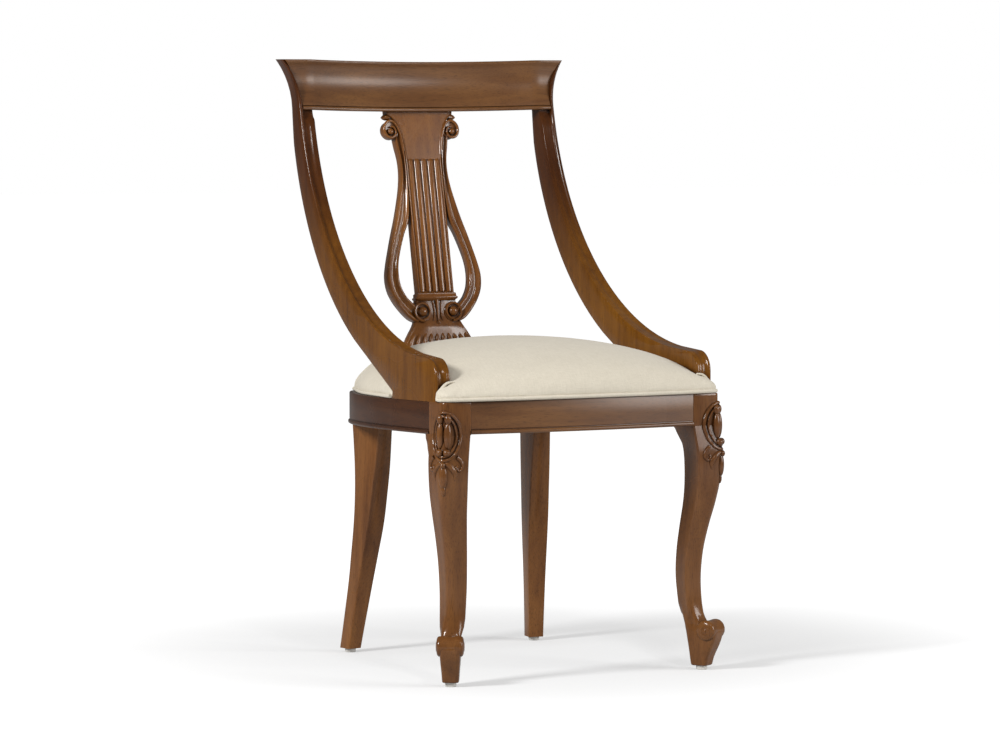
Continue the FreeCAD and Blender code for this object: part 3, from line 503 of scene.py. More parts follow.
def buildCrest(bm):
    half = innerX + 0.3
    section = crestSection()
    rings = []
    count = 36
    for i in range(count + 1):
        x = -half + 2 * half * i / count
        sag = crest["dip"] * (1 - (x / half) ** 2)
        # Near the ends the whole section, its back too, is drawn in to the lap: the rail is too thin
        # there and leaves the dowels open at the back.
        near = max(0, (abs(x) - half + crest["blend"]) / crest["blend"])
        near = ease(near)
        rings.append([(x, crestFront(x) + depth + (crestLap(depth, z) - depth) * near, z - sag)
                      for depth, z in section])
    for side in (-1, 1):
        short = []
        end = []
        for depth, z in section:
            front = crestFront(half) + crestLap(depth, z)
            reach = innerX + crest["overlap"] + flare(z)
            # Points no deeper than the lap run on over the upright; the rest end here.
            step = 8 if depth <= crestLap(depth, z) else 0.1
            short.append((side * (half + step), front, z))
            end.append((side * reach, front, z))
        if side < 0:
            rings = [end, short] + rings
        else:
            rings += [short, end]
    skin(bm, rings)


makePiece("crestRail", buildCrest, acrossGrain, "crest_rail")
print("crest made")


# Lyre splat, drawn flat as (across, depth, height) and leaned back into place.
lyre = {"footY": 436.5, "headY": 526, "thickness": 16, "drawn": 431,
        "reedFoot": 148, "reedTop": 352, "reedPitch": 11.7, "reedHalf": 5.6, "sunk": 2.6,
        "collarFoot": 136, "collarTop": 144.5, "upperVolute": (51, 398.5, 14),
        "lowerVolute": (26.8, 116, 15.5), "teeth": 10}
footZ = seatZ(lyre["footY"])
splatLean = math.atan2(lyre["headY"] - lyre["footY"], crestBottom - footZ)
splatStretch = math.hypot(lyre["headY"] - lyre["footY"], crestBottom - footZ) / lyre["drawn"]


def lean(x, depth, height):
    d = depth - lyre["thickness"] / 2
    h = height * splatStretch
    return (x, lyre["footY"] + d * math.cos(splatLean) + h * math.sin(splatLean),
            footZ - d * math.sin(splatLean) + h * math.cos(splatLean))


# Half widths as (height, half).
panelRows = ((144, 31), (352, 31), (378, 33.3), (393, 37.4), (407.5, 42.6), (417, 49.5),
             (422, 56.5), (424.5, 57.2), (431, 57.2))
footRows = ((0, 76), (20, 73), (40, 69), (67, 60), (79, 54), (90, 46),
            (97, 41.5), (104, 38.5), (136, 34))


def buildPanel(bm):
    thick = lyre["thickness"]
    heights = [138, 146, lyre["reedFoot"], 200, 250, 300, 340, lyre["reedTop"] - 0.5,
               lyre["reedTop"], 362, 370, 378, 385, 393, 400, 407.5, 412, 417,
               420, 422, 424.5, 431.5]
    rings = []
    for h in heights:
        half = between(panelRows, h)
        sunk = lyre["sunk"] if lyre["reedFoot"] <= h < lyre["reedTop"] else 0.9
        ring = []
        for side in (1, -1):
            edge = [(half, thick - 1), (half, 2), (half - 0.4, 0.2), (half - 1.3, -0.5),
                    (half - 2.3, -0.1), (half - 2.9, 0.9), (half - 3.4, sunk), (half * 0.45, sunk)]
            edge = [(side * x, d) for x, d in edge]
            ring += edge if side > 0 else edge[::-1]
        ring += [(-half + 1, thick), (half - 1, thick)]
        rings.append([lean(x, d, h) for x, d in ring])
    skin(bm, rings)
    for i in range(5):
        x = (i - 2) * lyre["reedPitch"]
        rows = []
        for h, share in ((lyre["reedFoot"] - 1, 0.9), (lyre["reedFoot"] + 1.5, 1),
                         (lyre["reedTop"] - 3.5, 1), (lyre["reedTop"] - 1, 0.92),
                         (lyre["reedTop"] + 1.2, 0.68), (lyre["reedTop"] + 2.6, 0.28)):
            rows.append([lean(x + lyre["reedHalf"] * share * c, 3 - 3.6 * share * s, h)
                         for c, s in circle(14)])
        skin(bm, rows)


# The arm's outer and inner edge as (outer x, outer height, inner x, inner height).
armRows = ((47, 392, 37, 396), (44.5, 374, 33.5, 378), (40.5, 352, 31.6, 354),
           (40.2, 331, 31.2, 331), (43.5, 309, 31.3, 308), (50, 283, 32, 283),
           (57, 259, 35.5, 258), (65, 235, 45.5, 236), (72, 212, 54, 213),
           (78, 191, 59.6, 193), (81.8, 171, 61.3, 174), (80, 151, 58.8, 155.5),
           (72, 133, 51.5, 140.5), (60, 117, 43, 131.5), (48, 105.5, 35.5, 124),
           (36, 100, 29, 113))


def buildArm(bm, side):
    thick = lyre["thickness"]
    profile = ((0, thick - 1.5), (0, 4), (0.01, 2), (0.06, 0.6), (0.14, -0.2), (0.22, 0.3),
               (0.28, 1.5), (0.36, 3), (0.48, 3.9), (0.60, 3.5), (0.70, 2.2), (0.76, 0.9),
               (0.84, -0.2), (0.92, 0.1), (0.98, 1.4), (1, 3.5), (1, thick - 1.5),
               (0.95, thick), (0.5, thick), (0.05, thick))
    rings = []
    for ox, oh, ix, ih in blendRows(armRows, 5):
        rings.append([lean(side * (ix + (ox - ix) * s), d, ih + (oh - ih) * s) for s, d in profile])
    skin(bm, rings)


def spiral(bm, centre, start, end, turns, startAngle, radius, side, depth):
    # A scroll's raised line, wound in from start to end radius.
    path = []
    steps = int(26 * turns)
    for i in range(steps + 1):
        t = i / steps
        a = math.radians(startAngle) + 2 * math.pi * turns * t
        r = start + (end - start) * t
        path.append(lean(side * (centre[0] + r * math.cos(a)), depth, centre[1] + r * math.sin(a)))
    thin = [radius * (1 - 0.35 * i / steps) for i in range(steps + 1)]
    tube(bm, path, thin, 8)


def disc(bm, centre, radius, front, back, side, dome):
    # A round drum with a domed or dished front.
    rings = []
    for share, depth in ((0.97, back), (1, back - 1), (1, front + 1.6), (0.96, front + 0.5),
                         (0.88, front), (0.8, front + 0.2), (0.6, front + 0.2 - dome * 0.5),
                         (0.35, front + 0.2 - dome * 0.85), (0.1, front + 0.2 - dome)):
        rings.append([lean(side * centre[0] + radius * share * c, depth, centre[1] + radius * share * s)
                      for c, s in circle(40)])
    skin(bm, rings)


def buildVolutes(bm, side):
    x, h, r = lyre["upperVolute"]
    disc(bm, (x, h), r, 1.4, lyre["thickness"] - 1, side, -1.2)
    # The panel's border runs over the scroll and winds in round its eye.
    band = blendRows([(33, 366), (35.4, 384), (39, 397), (44, 407.5), (51, 412),
                      (58.4, 410.2), (63.4, 403.8), (64, 395.4), (60.2, 388.4), (53, 386),
                      (46.6, 389.4), (44.8, 396), (48, 402.2), (54, 402.6)], 5)
    last = len(band) - 1
    tube(bm, [lean(side * px, 0.4 - 1 * i / last, ph) for i, (px, ph) in enumerate(band)],
         [1.3 + 1.1 * math.sin(math.pi * i / last) for i in range(last + 1)], 10)
    ball(bm, lean(side * 53.6, 0, 395.4), (5, 4.2, 5), segments=24)
    x, h, r = lyre["lowerVolute"]
    disc(bm, (x, h), r - 0.4, 1.2, lyre["thickness"], side, -2.2)
    spiral(bm, (x, h), r - 1.4, r - 4, 1.02, 262, 2.3, side, 0.2)
    ball(bm, lean(side * x, 1, h), (7.6, 6.6, 7.6), segments=28)


def buildCollar(bm):
    low = lyre["collarFoot"]
    high = lyre["collarTop"]
    rings = []
    for h, half, front in ((low - 3, 32.6, 1.4), (low - 1.6, 33.4, 0), (low - 0.4, 35.4, -1.2),
                           (low + 0.8, 36.2, -2), (low + 2.6, 36.2, -2), (low + 3.4, 34, -1.6),
                           (high - 0.6, 33.6, -1.6), (high, 33.2, -1), (high + 1, 31.4, 1.6)):
        rings.append([lean(x, d, h) for x, d in
                      ((half, 15), (half, front + 1), (half - 1, front), (0, front - 0.2),
                       (1 - half, front), (-half, front + 1), (-half, 15), (0, 15.4))])
    skin(bm, rings)


def buildFoot(bm):
    thick = lyre["thickness"]
    rings = []
    for h in (-2, 20, 40, 54, 67, 76, 85, 90, 96, 104, 120, 137):
        half = between(footRows, h)
        front = 2.4 if h < 84 else (1.2 if h < 97 else 3.4)
        rings.append([lean(x, d, h) for x, d in
                      ((half, thick - 1), (half, front + 2), (half - 1.2, front + 0.5),
                       (half - 2.5, front), (half * 0.4, front), (-half * 0.4, front),
                       (2.5 - half, front), (1.2 - half, front + 0.5), (-half, front + 2),
                       (-half, thick - 1), (1 - half, thick), (half - 1, thick))])
    skin(bm, rings)
    count = lyre["teeth"]
    for i in range(count):
        place = (i - (count - 1) / 2) / (count / 2)
        rings = []
        for h, share in ((-2, 1), (40, 1), (70, 0.98), (77, 0.9), (81, 0.62), (83, 0.25)):
            half = between(footRows, min(h, 84)) - 3
            wide = half / count * 0.82 * share
            rings.append([lean(place * half + wide * c, 2.6 - 3.2 * share * s, h) for c, s in circle(12)])
        skin(bm, rings)


def buildReed(bm):
    # The thin reed between the lower scrolls, ending in a drop.
    path = [lean(0, 2.4, h) for h in (134, 128, 120, 112, 105, 101.5)]
    tube(bm, path, [3.4, 2.7, 1.9, 1.6, 1.5, 1.2], 12)
    ball(bm, lean(0, 1.6, 99.5), (3.1, 2.6, 3.4))
    for side in (-1, 1):
        edge = [lean(side * x, 2.6, h) for x, h in ((8.6, 134), (6.4, 127), (5.6, 118), (6.2, 109),
                                                    (8.4, 102))]
        tube(bm, edge, 1.1, 8)


def buildSplat(bm):
    buildPanel(bm)
    for side in (-1, 1):
        buildArm(bm, side)
        buildVolutes(bm, side)
        # The small pointed fillet above each volute.
        fillet = ((52, 419), (58, 418.6), (62, 418.4), (65.2, 418.2))
        tube(bm, [lean(side * x, 7, h) for x, h in fillet], [5.4, 5, 3.4, 0.6], 10)
    buildCollar(bm)
    buildFoot(bm)
    buildReed(bm)


makePiece("lyreSplat", buildSplat, splatLitGrain, "lyre_splat", sharp=42)
print("splat made")


# Rails: a section with a bead along its lower edge, carried along a plan line.
def railSection():
    high = seat["railHeight"]
    thick = seat["railThickness"]
    return ((-1.5, 0), (0.6, 0), (1.5, 0.6), (2, 2), (2, 3.6), (1.5, 5), (0.5, 5.8),
            (-0.7, 6.2), (-0.9, 7), (0, 7.8), (0, high * 0.5), (0, high - 1.2), (-0.4, high - 0.3),
            (-1.3, high), (-thick + 1, high), (-thick, high - 1), (-thick, 1), (-thick + 1, 0))


def railAlong(bm, line):
    # line holds plan points (x, y), with the outside of the chair on the right-hand side.
    rings = []
    for i, (x, y) in enumerate(line):
        nextX, nextY = line[min(i + 1, len(line) - 1)]
        lastX, lastY = line[max(i - 1, 0)]
        length = math.hypot(nextX - lastX, nextY - lastY)
        out = ((nextY - lastY) / length, -(nextX - lastX) / length)
        ring = []
        for step, height in railSection():
            py = y + out[1] * step
            ring.append((x + out[0] * step, py, seatZ(py) - seat["railHeight"] + height))
        rings.append(ring)
    skin(bm, rings)


def bowLine(halfWidth, y, bow, count):
    # A flat arc in plan from -halfWidth to +halfWidth, bowed towards -Y.
    radius = (halfWidth ** 2 + bow ** 2) / (2 * bow)
    out = []
    for i in range(count + 1):
        x = -halfWidth + 2 * halfWidth * i / count
        out.append((x, y - bow + radius - math.sqrt(radius * radius - x * x)))
    return out


postSide = 46
frontLine = bowLine(seat["halfWidth"] - postSide + 0.3, seat["front"] + 0.4, seat["bow"] - 1, 24)
makePiece("frontRail", lambda bm: railAlong(bm, frontLine), acrossGrain, "front_rail")

rearLine = [(-x, 2 * seat["rearY"] - y + 1.5) for x, y in
            bowLine(seat["rearX"] - 27, seat["rearY"] + 0.4, seat["rearBow"] - 0.8, 16)]
makePiece("rearRail", lambda bm: railAlong(bm, rearLine), acrossGrain, "rear_rail")


def buildSideRail(bm):
    s = seat
    turning = (s["breakX"], s["breakY"])
    line = mixPoints((s["halfWidth"] - 0.8, s["front"] + postSide - 0.3), turning, 4)[:-1]
    line += blendRows([turning, (222, 235), (204.5, 330), (183, 393),
                       (163.5, 430)], 8)
    line += [(161.5, 433.2), (158.5, 435.6), (154, 436.6), (140, 438.2), (131, 439.3)]
    railAlong(bm, line)


makePair("SideRail", buildSideRail, sideShadedGrain, "side_rail")
print("rails made")


# Rear legs: square sabre legs, turned out a little.
sabre = {"turn": 8.5, "foot": (161, 437), "head": (142.5, 399), "footSize": (25, 24),
         "headSize": (74, 25), "swell": 7.5, "low": 6.2, "corner": 2.6}
# (share of the height, shift from foot to head, growth from foot to head, swell)
sabreRows = ((0, 0, 0, 0), (0.12, 0.20, 0.02, 0.22), (0.29, 0.48, 0.06, 0.65),
             (0.41, 0.66, 0.15, 0.90), (0.55, 0.86, 0.29, 1.05), (0.68, 0.97, 0.42, 1),
             (0.81, 1.03, 0.64, 0.72), (0.97, 1.03, 0.97, 0.1), (1, 1.02, 1.03, 0.05))


def roundedRing(centre, along, across, depth, width, r, z):
    # A rectangle with rounded corners; depth runs along one way, width across it.
    ring = []
    corners = ((-1, 1, 180, 90), (1, 1, 90, 0), (1, -1, 0, -90), (-1, -1, -90, -180))
    for sd, sw, start, end in corners:
        cx = sd * (depth / 2 - r)
        cy = sw * (width / 2 - r)
        for px, py in arcPoints((cx, cy), r, start, end, 4):
            ring.append((centre[0] + along[0] * px + across[0] * py,
                         centre[1] + along[1] * px + across[1] * py, z))
    return ring


def buildRearLeg(bm):
    s = sabre
    turn = math.radians(s["turn"])
    along = (math.sin(turn), math.cos(turn))
    across = (math.cos(turn), -math.sin(turn))
    top = seatZ(s["head"][1]) - seat["railHeight"] + 3
    rings = []
    for share, shift, growth, swell in blendRows(sabreRows, 5):
        z = s["low"] + share * (top - s["low"])
        middle = [mix(a, b, shift) for a, b in zip(s["foot"], s["head"])]
        depth, width = [mix(a, b, growth) for a, b in zip(s["footSize"], s["headSize"])]
        width += s["swell"] * swell
        rings.append(roundedRing(middle, along, across, depth, width, s["corner"], z))
    skin(bm, rings)


makePair("RearLeg", buildRearLeg, rearLitGrain, "rear_leg")
print("rear legs made")


# Front legs: cabriole, with carved knees and scrolled feet.
cabriole = {"low": 6.5, "centre": (209, 7), "foot": (211.5, 0.5), "side": 46, "sides": 56}
# (share of the height, step along the diagonal, side, corner radius as a share of the side)
cabrioleRows = ((0.10, -5, 29, 0.30), (0.13, -5.5, 28.8, 0.30), (0.20, -8.5, 28.8, 0.30),
                (0.29, -12.5, 29.6, 0.30), (0.38, -14.2, 31.2, 0.30), (0.48, -11.5, 33, 0.32),
                (0.58, -5, 35.8, 0.32), (0.68, 3, 39.5, 0.30), (0.77, 7.5, 43, 0.28),
                (0.87, 8, 45, 0.26), (0.94, 4.5, 45.5, 0.24), (1, 0.5, 46, 0.20))
diagonal = math.sqrt(0.5)


def legPlace(out, across, z, base=None):
    # A point out along the leg's diagonal and across it.
    cx, cy = base or cabriole["centre"]
    return (cx + (out + across) * diagonal, cy + (across - out) * diagonal, z)


def kneeOut(across, z):
    # How far out the leg's rounded corner lies at that height and place.
    share = (z - cabriole["low"]) / (367.5 - cabriole["low"])
    rows = blendRows(cabrioleRows, 6)
    row = min(rows, key=lambda r: abs(r[0] - share))
    radius = row[2] * row[3]
    corner = row[1] + row[2] * diagonal
    bend = radius * (math.sqrt(2) - 1)
    return corner - math.sqrt(across ** 2 + bend ** 2)


def evenRing(outline, centre, z):
    # The outline's points at even angles about a centre, so that rings of any shape can be bridged.
    ring = []
    for k in range(cabriole["sides"]):
        a = 2 * math.pi * (k + 0.5) / cabriole["sides"] - 0.75 * math.pi
        dx = math.cos(a)
        dy = math.sin(a)
        for (px, py), (qx, qy) in zip(outline, outline[1:] + outline[:1]):
            px, py, qx, qy = px - centre[0], py - centre[1], qx - centre[0], qy - centre[1]
            turn = dx * (qy - py) - dy * (qx - px)
            if abs(turn) < 1e-9:
                continue
            reach = (px * (qy - py) - py * (qx - px)) / turn
            part = (px * dy - py * dx) / turn
            if reach > 0 and -1e-6 <= part <= 1 + 1e-6:
                ring.append((centre[0] + dx * reach, centre[1] + dy * reach, z))
                break
    return ring


def shaftOutline(x, y, side, outer, inner, back=0):
    # A square with its outer corner rounded more, drawn from the outer front corner round.
    half = side / 2
    out = []
    for px, py, r, start, end in ((x - half, y - half, inner, 180, 270),
                                  (x + half, y - half, outer, 270, 360),
                                  (x + half, y + half + back, inner, 0, 90),
                                  (x - half - back * 0.3, y + half + back, inner, 90, 180)):
        ox = px + (r if px < x else -r)
        oy = py + (r if py < y else -r)
        out += arcPoints((ox, oy), r, start, end, 8)
    return out


def legCentre(step):
    return (cabriole["centre"][0] + step * diagonal, cabriole["centre"][1] - step * diagonal)


toe = {"turn": -15, "out": 15.5, "height": 60.5, "radius": 15, "half": 17.4,
       "eye": (15.8, 60, 8), "eyeTo": 20.9}
# The block that stands on the glide, as (height, back, front, half width) about the foot's middle.
toeRows = ((6.5, -11.6, 11.6, 10.6), (7.4, -12.8, 12.8, 11.8), (9.5, -13.4, 13.6, 12.3),
           (20, -15, 16.6, 13), (35, -16.8, 23.4, 14.2), (46, -18.6, 27.9, 15),
           (57, -20.5, 29.9, 15.4), (62, -21.6, 26, 15.4), (68, -22.8, 9, 15),
           (75, -24.5, 3, 14.8), (88, -27.5, 0.5, 16))


def toeOutline(back, front, half):
    out = []
    r = half * 0.36
    for sx, sy, start, end in ((-1, -1, 180, 270), (1, -1, 270, 360), (1, 1, 0, 90), (-1, 1, 90, 180)):
        ox = (front - r) if sx > 0 else (back + r)
        for a, b in arcPoints((ox, sy * (half - r)), r, start, end, 6):
            out.append(footPlace(a, b, 0)[:2])
    return out


def buildFrontLeg(bm):
    c = cabriole
    top = seat["railTop"] - seat["railHeight"]
    rings = []
    blend = (66, 96)
    for z, back, front, half in blendRows(toeRows, 4)[:-1]:
        share = (z - c["low"]) / (top - c["low"])
        middle = (back + front) / 2
        centre = footPlace(middle, 0, 0)[:2]
        block = evenRing(toeOutline(back, front, half), centre, z)
        if z > blend[0]:
            row = min(blendRows(cabrioleRows, 12), key=lambda r: abs(r[0] - share))
            x, y = legCentre(row[1])
            shaft = evenRing(shaftOutline(x, y, row[2], row[2] * row[3], 2.5), (x, y), z)
            t = min(1, (z - blend[0]) / (blend[1] - blend[0]))
            block = [tuple(mix(p, q, ease(t)) for p, q in zip(a, b)) for a, b in zip(block, shaft)]
        rings.append(block)
    for share, step, side, roundness in blendRows(cabrioleRows, 5):
        z = c["low"] + share * (top - c["low"])
        if z < blend[1]:
            continue
        x, y = legCentre(step)
        bracket = max(0, (share - 0.90) / 0.10) ** 1.6 * 15
        rings.append(evenRing(shaftOutline(x, y, side, side * roundness, 2.5, bracket), (x, y), z))
    skin(bm, rings)
    rings = []
    x, y = c["centre"]
    for rise in (-1, 3, 44, 46.5, 47.5):
        inset = 1.2 if rise > 47 else (0.3 if rise > 46 else 0)
        rings.append([(px, py, seatZ(py) - seat["railHeight"] + rise)
                      for px, py in shaftOutline(x, y, c["side"] - inset, 9, 1.2)])
    skin(bm, rings)
    buildToe(bm)
    buildKnee(bm)


def footPlace(out, across, z):
    # The foot is turned a little more to the front than the leg's diagonal.
    a = math.radians(toe["turn"])
    return legPlace(out * math.cos(a) - across * math.sin(a), out * math.sin(a) + across * math.cos(a), z,
                    cabriole["foot"])


def roller(bm, out, height, radius, steps):
    # A round body lying across the foot, as (place across, share of its radius).
    skin(bm, [[footPlace(out + radius * share * c, across, height + radius * share * s)
               for c, s in circle(36)] for across, share in steps])


def buildToe(bm):
    # The roll across the front of the foot, waisted in the middle, and a scroll on either side.
    t = toe
    half = t["half"]
    ends = ((1.16, 0.15), (1.15, 0.50), (1.12, 0.74), (1.05, 0.91), (0.96, 0.985), (0.80, 1),
            (0.45, 0.975))
    steps = [(-half * a, share) for a, share in ends] + [(0, 0.94)]
    steps += [(half * a, share) for a, share in ends[::-1]]
    roller(bm, t["out"], t["height"], t["radius"], steps)
    out, height, radius = t["eye"]
    face = t["eyeTo"]
    for side in (-1, 1):
        roller(bm, out, height, radius, [(side * (face + d), share) for d, share in (
            (-8, 1), (-2.6, 1), (-1, 0.94), (-0.3, 0.82), (-0.4, 0.68), (-1.6, 0.60), (-1.8, 0.48),
            (-0.6, 0.40), (0, 0.26), (0.1, 0.06))])


def kneePath(points, proud):
    return [legPlace(kneeOut(t, z) + proud, t, z) for t, z in points]


def kneeBall(bm, across, z, size, proud):
    # An ellipsoid lying on the leg's rounded corner: size is across, out and up.
    slope = -math.atan2(across, math.sqrt(across ** 2 + 14)) * 0.7
    turn = Matrix.Rotation(math.radians(-45) - slope, 3, "Z")
    ball(bm, legPlace(kneeOut(across, z) + proud, across, z), (size[1], size[0], size[2]), turn, 24)


def buildKnee(bm):
    middle = 366
    wide = 20.5
    tall = 35
    for acrossShare, upShare, radius, proud in ((1, 1, 2.7, 0.9), (0.76, 0.84, 2, 1.6)):
        points = [(wide * acrossShare * c, middle + tall * upShare * s) for c, s in circle(56)]
        tube(bm, kneePath(points, proud), radius, 10, closed=True)
    for side in (-1, 1):
        for across, rise, size, proud in ((5.6, 1, (6, 5.5, 20), 3),
                                          (5.8, 25, (5.2, 5, 7.5), 2.6),
                                          (5.4, -23.5, (5.4, 5.4, 5.6), 3.2)):
            kneeBall(bm, side * across, middle + rise, size, proud)
        leaf = [(side * 2.5, middle - 38), (side * 9.5, middle - 44), (side * 15, middle - 54),
                (side * 14, middle - 66)]
        rows = blendRows(leaf, 5)
        last = len(rows) - 1
        tube(bm, kneePath(rows, -0.4), [3 + 2 * math.sin(math.pi * i / last) - 2.6 * (i / last) ** 3
                                        for i in range(last + 1)], 10)
        wing = [(side * 17, middle - 30), (side * 22, middle - 36), (side * 24, middle - 44),
                (side * 20.5, middle - 50), (side * 16.5, middle - 46), (side * 18.5, middle - 42)]
        rows = blendRows(wing, 5)
        tube(bm, kneePath(rows, 0.4), [3.2 - 0.07 * i for i in range(len(rows))], 10)
    kneeBall(bm, 0, middle - 41, (4, 4.2, 5), 1.8)
    kneeBall(bm, 0, middle - 58, (6.4, 4.6, 17), -0.2)
    kneeBall(bm, 0, middle - 78, (3.2, 3, 8), -0.8)


makePair("FrontLeg", buildFrontLeg, legGrain, "front_leg")
print("front legs made")


# Cushion: outlines closing to a crown, cut round the uprights, then filled by the cloth solver.
cushion = {"crown": 73, "edge": 10, "middleY": 209, "sidePower": 0.40, "frontPower": 0.50,
           "rearPower": 0.30, "corner": 18, "rearCorner": 9, "voxel": 0.005, "pressure": 2.5,
           "cap": 0.003, "gap": 1, "welt": 2.9}


def seatPlan(grow, corner, scale=1, steps=9):
    # The seat's plan as points, anticlockwise seen from above, from the front's middle.
    s = seat
    middleY = (s["front"] + s["rearY"]) / 2
    side = s["halfWidth"] + grow
    front = s["front"] - grow
    breakX = s["breakX"] + grow
    rearX = s["rearX"] + grow * 0.9
    rearY = s["rearY"] + grow * 0.95
    bow = bowLine(side - corner, front, s["bow"], 2 * steps)
    right = bow[steps:]
    right += arcPoints((side - corner, front + corner), corner, -90, 0, 7)[1:]
    right += mixPoints((side, front + corner), (breakX, s["breakY"]), 9)[1:]
    sweepMiddle = (breakX - (breakX - rearX) * 0.34, s["breakY"] + (rearY - corner - s["breakY"]) * 0.56)
    small = min(corner, cushion["rearCorner"])
    right += blendRows([(breakX, s["breakY"]), sweepMiddle, (rearX, rearY - small)], 12)[1:]
    right += arcPoints((rearX - small, rearY - small), small, 0, 90, 6)[1:]
    rear = [(x, 2 * rearY - y) for x, y in bowLine(rearX - small, rearY, s["rearBow"], 2 * steps)]
    right += rear[steps:-1][::-1]
    points = right + [(-x, y) for x, y in right[1:-1]][::-1]
    return [(x * scale, middleY + (y - middleY) * scale) for x, y in points]


def planReach(plan, place, axis):
    # How far the plan reaches along one axis, beyond the middle, on the line through a place.
    best = 1
    other = 1 - axis
    for p, q in zip(plan, plan[1:] + plan[:1]):
        low, high = sorted((p[other], q[other]))
        if low <= place[other] <= high and high > low:
            t = (place[other] - p[other]) / (q[other] - p[other])
            reach = p[axis] + t * (q[axis] - p[axis])
            middle = cushion["middleY"] if axis else 0
            if (reach - middle) * (place[axis] - middle) >= 0:
                best = max(best, abs(reach - middle))
    return best


def crownHeight(plan, x, y):
    # The top's height over the rail: a dome that falls off to the sides and to the front and rear.
    across = min(1, abs(x) / planReach(plan, (x, y), 0))
    along = min(1, abs(y - cushion["middleY"]) / planReach(plan, (x, y), 1))
    power = cushion["frontPower"] if y < cushion["middleY"] else cushion["rearPower"]
    return (cushion["edge"] + cushion["crown"] * (1 - across ** 2) ** cushion["sidePower"]
            * (1 - along ** 2) ** power)


def buildCushion(bm):
    rings = []
    for rise, grow in ((0.3, -1.5), (3, 0.2), (7, 1.6)):
        rings.append([(x, y, seatZ(y) + rise) for x, y in seatPlan(grow, cushion["corner"])])
    plan = seatPlan(2, cushion["corner"])
    for scale in (1, 0.996, 0.988, 0.975, 0.955, 0.93, 0.90, 0.86, 0.80, 0.72, 0.62, 0.50, 0.36,
                  0.20, 0.05):
        ring = seatPlan(2, cushion["corner"], scale)
        rings.append([(x, y, seatZ(y) + crownHeight(plan, x, y)) for x, y in ring])
    skin(bm, rings)


def buildNotch(bm, gap):
    # The space that each upright takes out of the cushion, open to the side.
    stations = uprightStations()
    front = [f for f, _ in stations if f[1] < 620]
    rear = [r for _, r in stations if r[1] < 620]
    outline = [(y - gap, z + gap * 0.3) if z < 450 else (y, z + gap) for y, z in front]
    outline += [(y + gap, z) for y, z in rear[::-1]]
    outline = [(outline[0][0], outline[0][1] - 30)] + outline + [(outline[-1][0], outline[-1][1] - 30)]
    skin(bm, [[placeUpright(across, y, z) for y, z in outline] for across in (-gap, 80)])


def applyModifiers(thing):
    graph = bpy.context.evaluated_depsgraph_get()
    mesh = bpy.data.meshes.new_from_object(thing.evaluated_get(graph))
    thing.modifiers.clear()
    thing.data = mesh


def cutNotches(thing, gap):
    for mirror in (False, True):
        cutter = makeObject("notch", lambda bm: buildNotch(bm, gap), mirror)
        cut = thing.modifiers.new("notch", "BOOLEAN")
        cut.operation = "DIFFERENCE"
        cut.object = cutter
        cut.solver = "EXACT"
        applyModifiers(thing)
        bpy.data.objects.remove(cutter)


def makeCushion():
    pad = makeObject("seatCushion", buildCushion)
    cutNotches(pad, cushion["gap"])
    remesh = pad.modifiers.new("even", "REMESH")
    remesh.mode = "VOXEL"
    remesh.voxel_size = cushion["voxel"]
    applyModifiers(pad)
    before = [v.co.copy() for v in pad.data.vertices]
    pins = pad.vertex_groups.new(name="held")
    for v in pad.data.vertices:
        height = v.co.z - (seatZ((v.co.y - glideLine) / mm + 0.5) + 6) * mm
        pins.add([v.index], 1 if height < 0 else 0, "REPLACE")
    cloth = pad.modifiers.new("fill", "CLOTH")
    cloth.settings.use_pressure = True
    cloth.settings.uniform_pressure_force = cushion["pressure"]
    cloth.settings.vertex_group_mass = "held"
    cloth.settings.effector_weights.gravity = 0
    cloth.settings.tension_stiffness = 25
    cloth.settings.bending_stiffness = 4
    for number in range(1, 21):
        bpy.context.scene.frame_set(number)
    applyModifiers(pad)
    for v, start in zip(pad.data.vertices, before):
        step = v.co - start
        if step.length > cushion["cap"]:
            v.co = start + step * (cushion["cap"] / step.length)
    bpy.context.scene.frame_set(1)
    bm = bmesh.new()
    bm.from_mesh(pad.data)
    bmesh.ops.smooth_vert(bm, verts=bm.verts, factor=0.5, use_axis_x=True, use_axis_y=True,
                          use_axis_z=True)
    bm.to_mesh(pad.data)
    bm.free()
    finer = pad.modifiers.new("finer", "SUBSURF")
    finer.levels = 1
    finer.render_levels = 1
    applyModifiers(pad)
    pad.data.shade_smooth()
    pad.data.materials.clear()
    pad.data.materials.append(linenCloth)
    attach(pad, "root")
    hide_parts("seat_cover", "seat_foam")


makeCushion()


def buildWelt(bm):
    plan = seatPlan(0.6, cushion["corner"], steps=14)
    thick = cushion["welt"]
    full = seatPlan(2, cushion["corner"])
    heel = upright["noseFront"] + upright["footLength"] + 4
    nose = upright["noseFront"] - 2.2
    run = [(x, y, seatZ(y) + thick + 0.4) for x, y in sorted(p for p in plan if p[1] < nose - 1)]
    for sign in (1, -1):
        # Up the edge of the cover in front of the nose.
        edge = run[-1] if sign > 0 else run[0]
        climb = []
        for k in range(1, 9):
            x = edge[0] - sign * 3.5 * k
            climb.append((x, nose, seatZ(nose) + crownHeight(full, x, nose) * min(1, 0.55 + 0.1 * k)
                          + (1.4 if k < 7 else 5.6 - 0.7 * k)))
        run = run + climb if sign > 0 else climb[::-1] + run
    last = len(run) - 1
    tube(bm, run, [thick * min(1, 0.45 + 0.08 * min(i, last - i)) for i in range(last + 1)], 12)
    rear = [(x, y, seatZ(y) + thick + 0.4) for x, y in plan if y > heel]
    tube(bm, rear, thick, 12)


makePiece("seatWelt", buildWelt, linenCloth, "seat_welt", sharp=80)
print("cushion made")


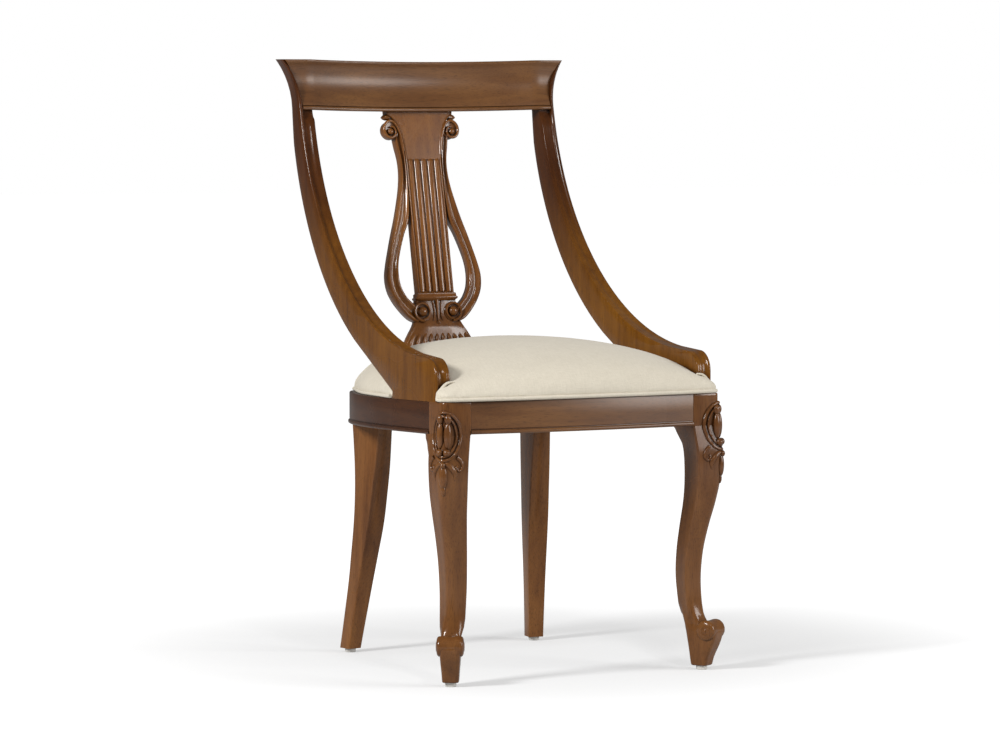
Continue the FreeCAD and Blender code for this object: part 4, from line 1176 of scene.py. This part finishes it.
# Hidden and small pieces keep their CAD solids.
dowels = ["front_rail", "side_rail", "rear_rail", "upright", "crest", "rear_leg"]
corners = ["left_front", "right_front", "left_rear", "right_rear"]
plainNodes = ((beech, [c + "_block" for c in corners] + [d + "_dowels" for d in dowels]),
              (plywood, ["seat_board"]), (steel, ["block_screws", "seat_screws"]),
              (cambric, ["dust_cover"]), (nylon, [c + "_glide" for c in corners]))
for finish, nodes in plainNodes:
    for node in nodes:
        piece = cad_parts[node]
        piece.data.materials.clear()
        piece.data.materials.append(finish)


# Floor, light and camera
studio = {"floor": 0.55, "near": 0.40, "far": 0.82, "world": 0.37, "sheen": 0.14, "key": 86,
          "right": 56, "front": 12}


def straightRays(tree, rays):
    return Wire(tree, rays.outputs["Is Camera Ray"]) + Wire(tree, rays.outputs["Is Transmission Ray"])


def makeStudio():
    bpy.ops.mesh.primitive_plane_add(size=60, location=(0, 0, 0))
    floor = bpy.context.object
    floor.name = "floor"
    paint = bpy.data.materials.new("floorPaint")
    paint.use_nodes = True
    tree = paint.node_tree
    tree.nodes.remove(tree.nodes["Principled BSDF"])
    grey = studio["floor"]
    matte = addNode(tree, "BsdfDiffuse", {}, {"Color": (grey, grey, grey, 1)})
    rays = tree.nodes.new("ShaderNodeLightPath")
    seen = straightRays(tree, rays)
    place = addNode(tree, "TexCoord", output=3)
    away = addNode(tree, "VectorMath", {"operation": "LENGTH"}, {0: place}, output=1)
    level = addRange(tree, away, 0.32, 1.2, studio["near"], studio["far"], "SMOOTHSTEP")
    lift = addNode(tree, "Emission", {}, {"Color": (1, 1, 1, 1), "Strength": seen * level})
    both = addNode(tree, "AddShader", {}, {0: matte, 1: lift})
    both.feed(tree.nodes["Material Output"], "Surface")
    floor.data.materials.append(paint)
    world = bpy.data.worlds.new("studio")
    bpy.context.scene.world = world
    world.use_nodes = True
    tree = world.node_tree
    rays = tree.nodes.new("ShaderNodeLightPath")
    seen = straightRays(tree, rays)
    mirrored = Wire(tree, rays.outputs["Is Glossy Ray"]) * (studio["world"] - studio["sheen"])
    strength = seen * (1 - studio["world"]) + studio["world"] - mirrored
    back = tree.nodes["Background"]
    back.inputs["Color"].default_value = (1, 1, 1, 1)
    strength.feed(back, "Strength")


def addLamp(name, place, aim, size, power):
    lamp = bpy.data.lights.new(name, "AREA")
    lamp.shape = "RECTANGLE"
    lamp.size, lamp.size_y = size
    lamp.energy = power
    thing = bpy.data.objects.new(name, lamp)
    thing.location = place
    thing.rotation_euler = (Vector(aim) - Vector(place)).to_track_quat("-Z", "Y").to_euler()
    bpy.context.scene.collection.objects.link(thing)


makeStudio()
addLamp("keySoftbox", (-2.8, -0.7, 1.9), (0, 0, 0.5), (0.6, 0.8), studio["key"])
addLamp("rightSoftbox", (2.25, -2.3, 1.25), (0, 0, 0.6), (1.6, 1.3), studio["right"])
addLamp("frontSpot", (-0.5, -2.6, 2.5), (0, 0, 0.4), (0.25, 0.25), studio["front"])

photo = {"lens": 161.17, "sensor": 36, "place": (-3176, -5754, 858), "pitch": 3.57, "yaw": -27.89}
camera = bpy.data.cameras.new("photoCamera")
camera.lens = photo["lens"]
camera.sensor_width = photo["sensor"]
camera.clip_end = 60
view = bpy.data.objects.new("photoCamera", camera)
view.location = toFrame @ Vector(photo["place"])
view.rotation_euler = (math.radians(90 - photo["pitch"]), 0, math.radians(photo["yaw"]))
bpy.context.scene.collection.objects.link(view)
bpy.context.scene.camera = view
bpy.context.scene.view_settings.view_transform = "Standard"
print("studio made")
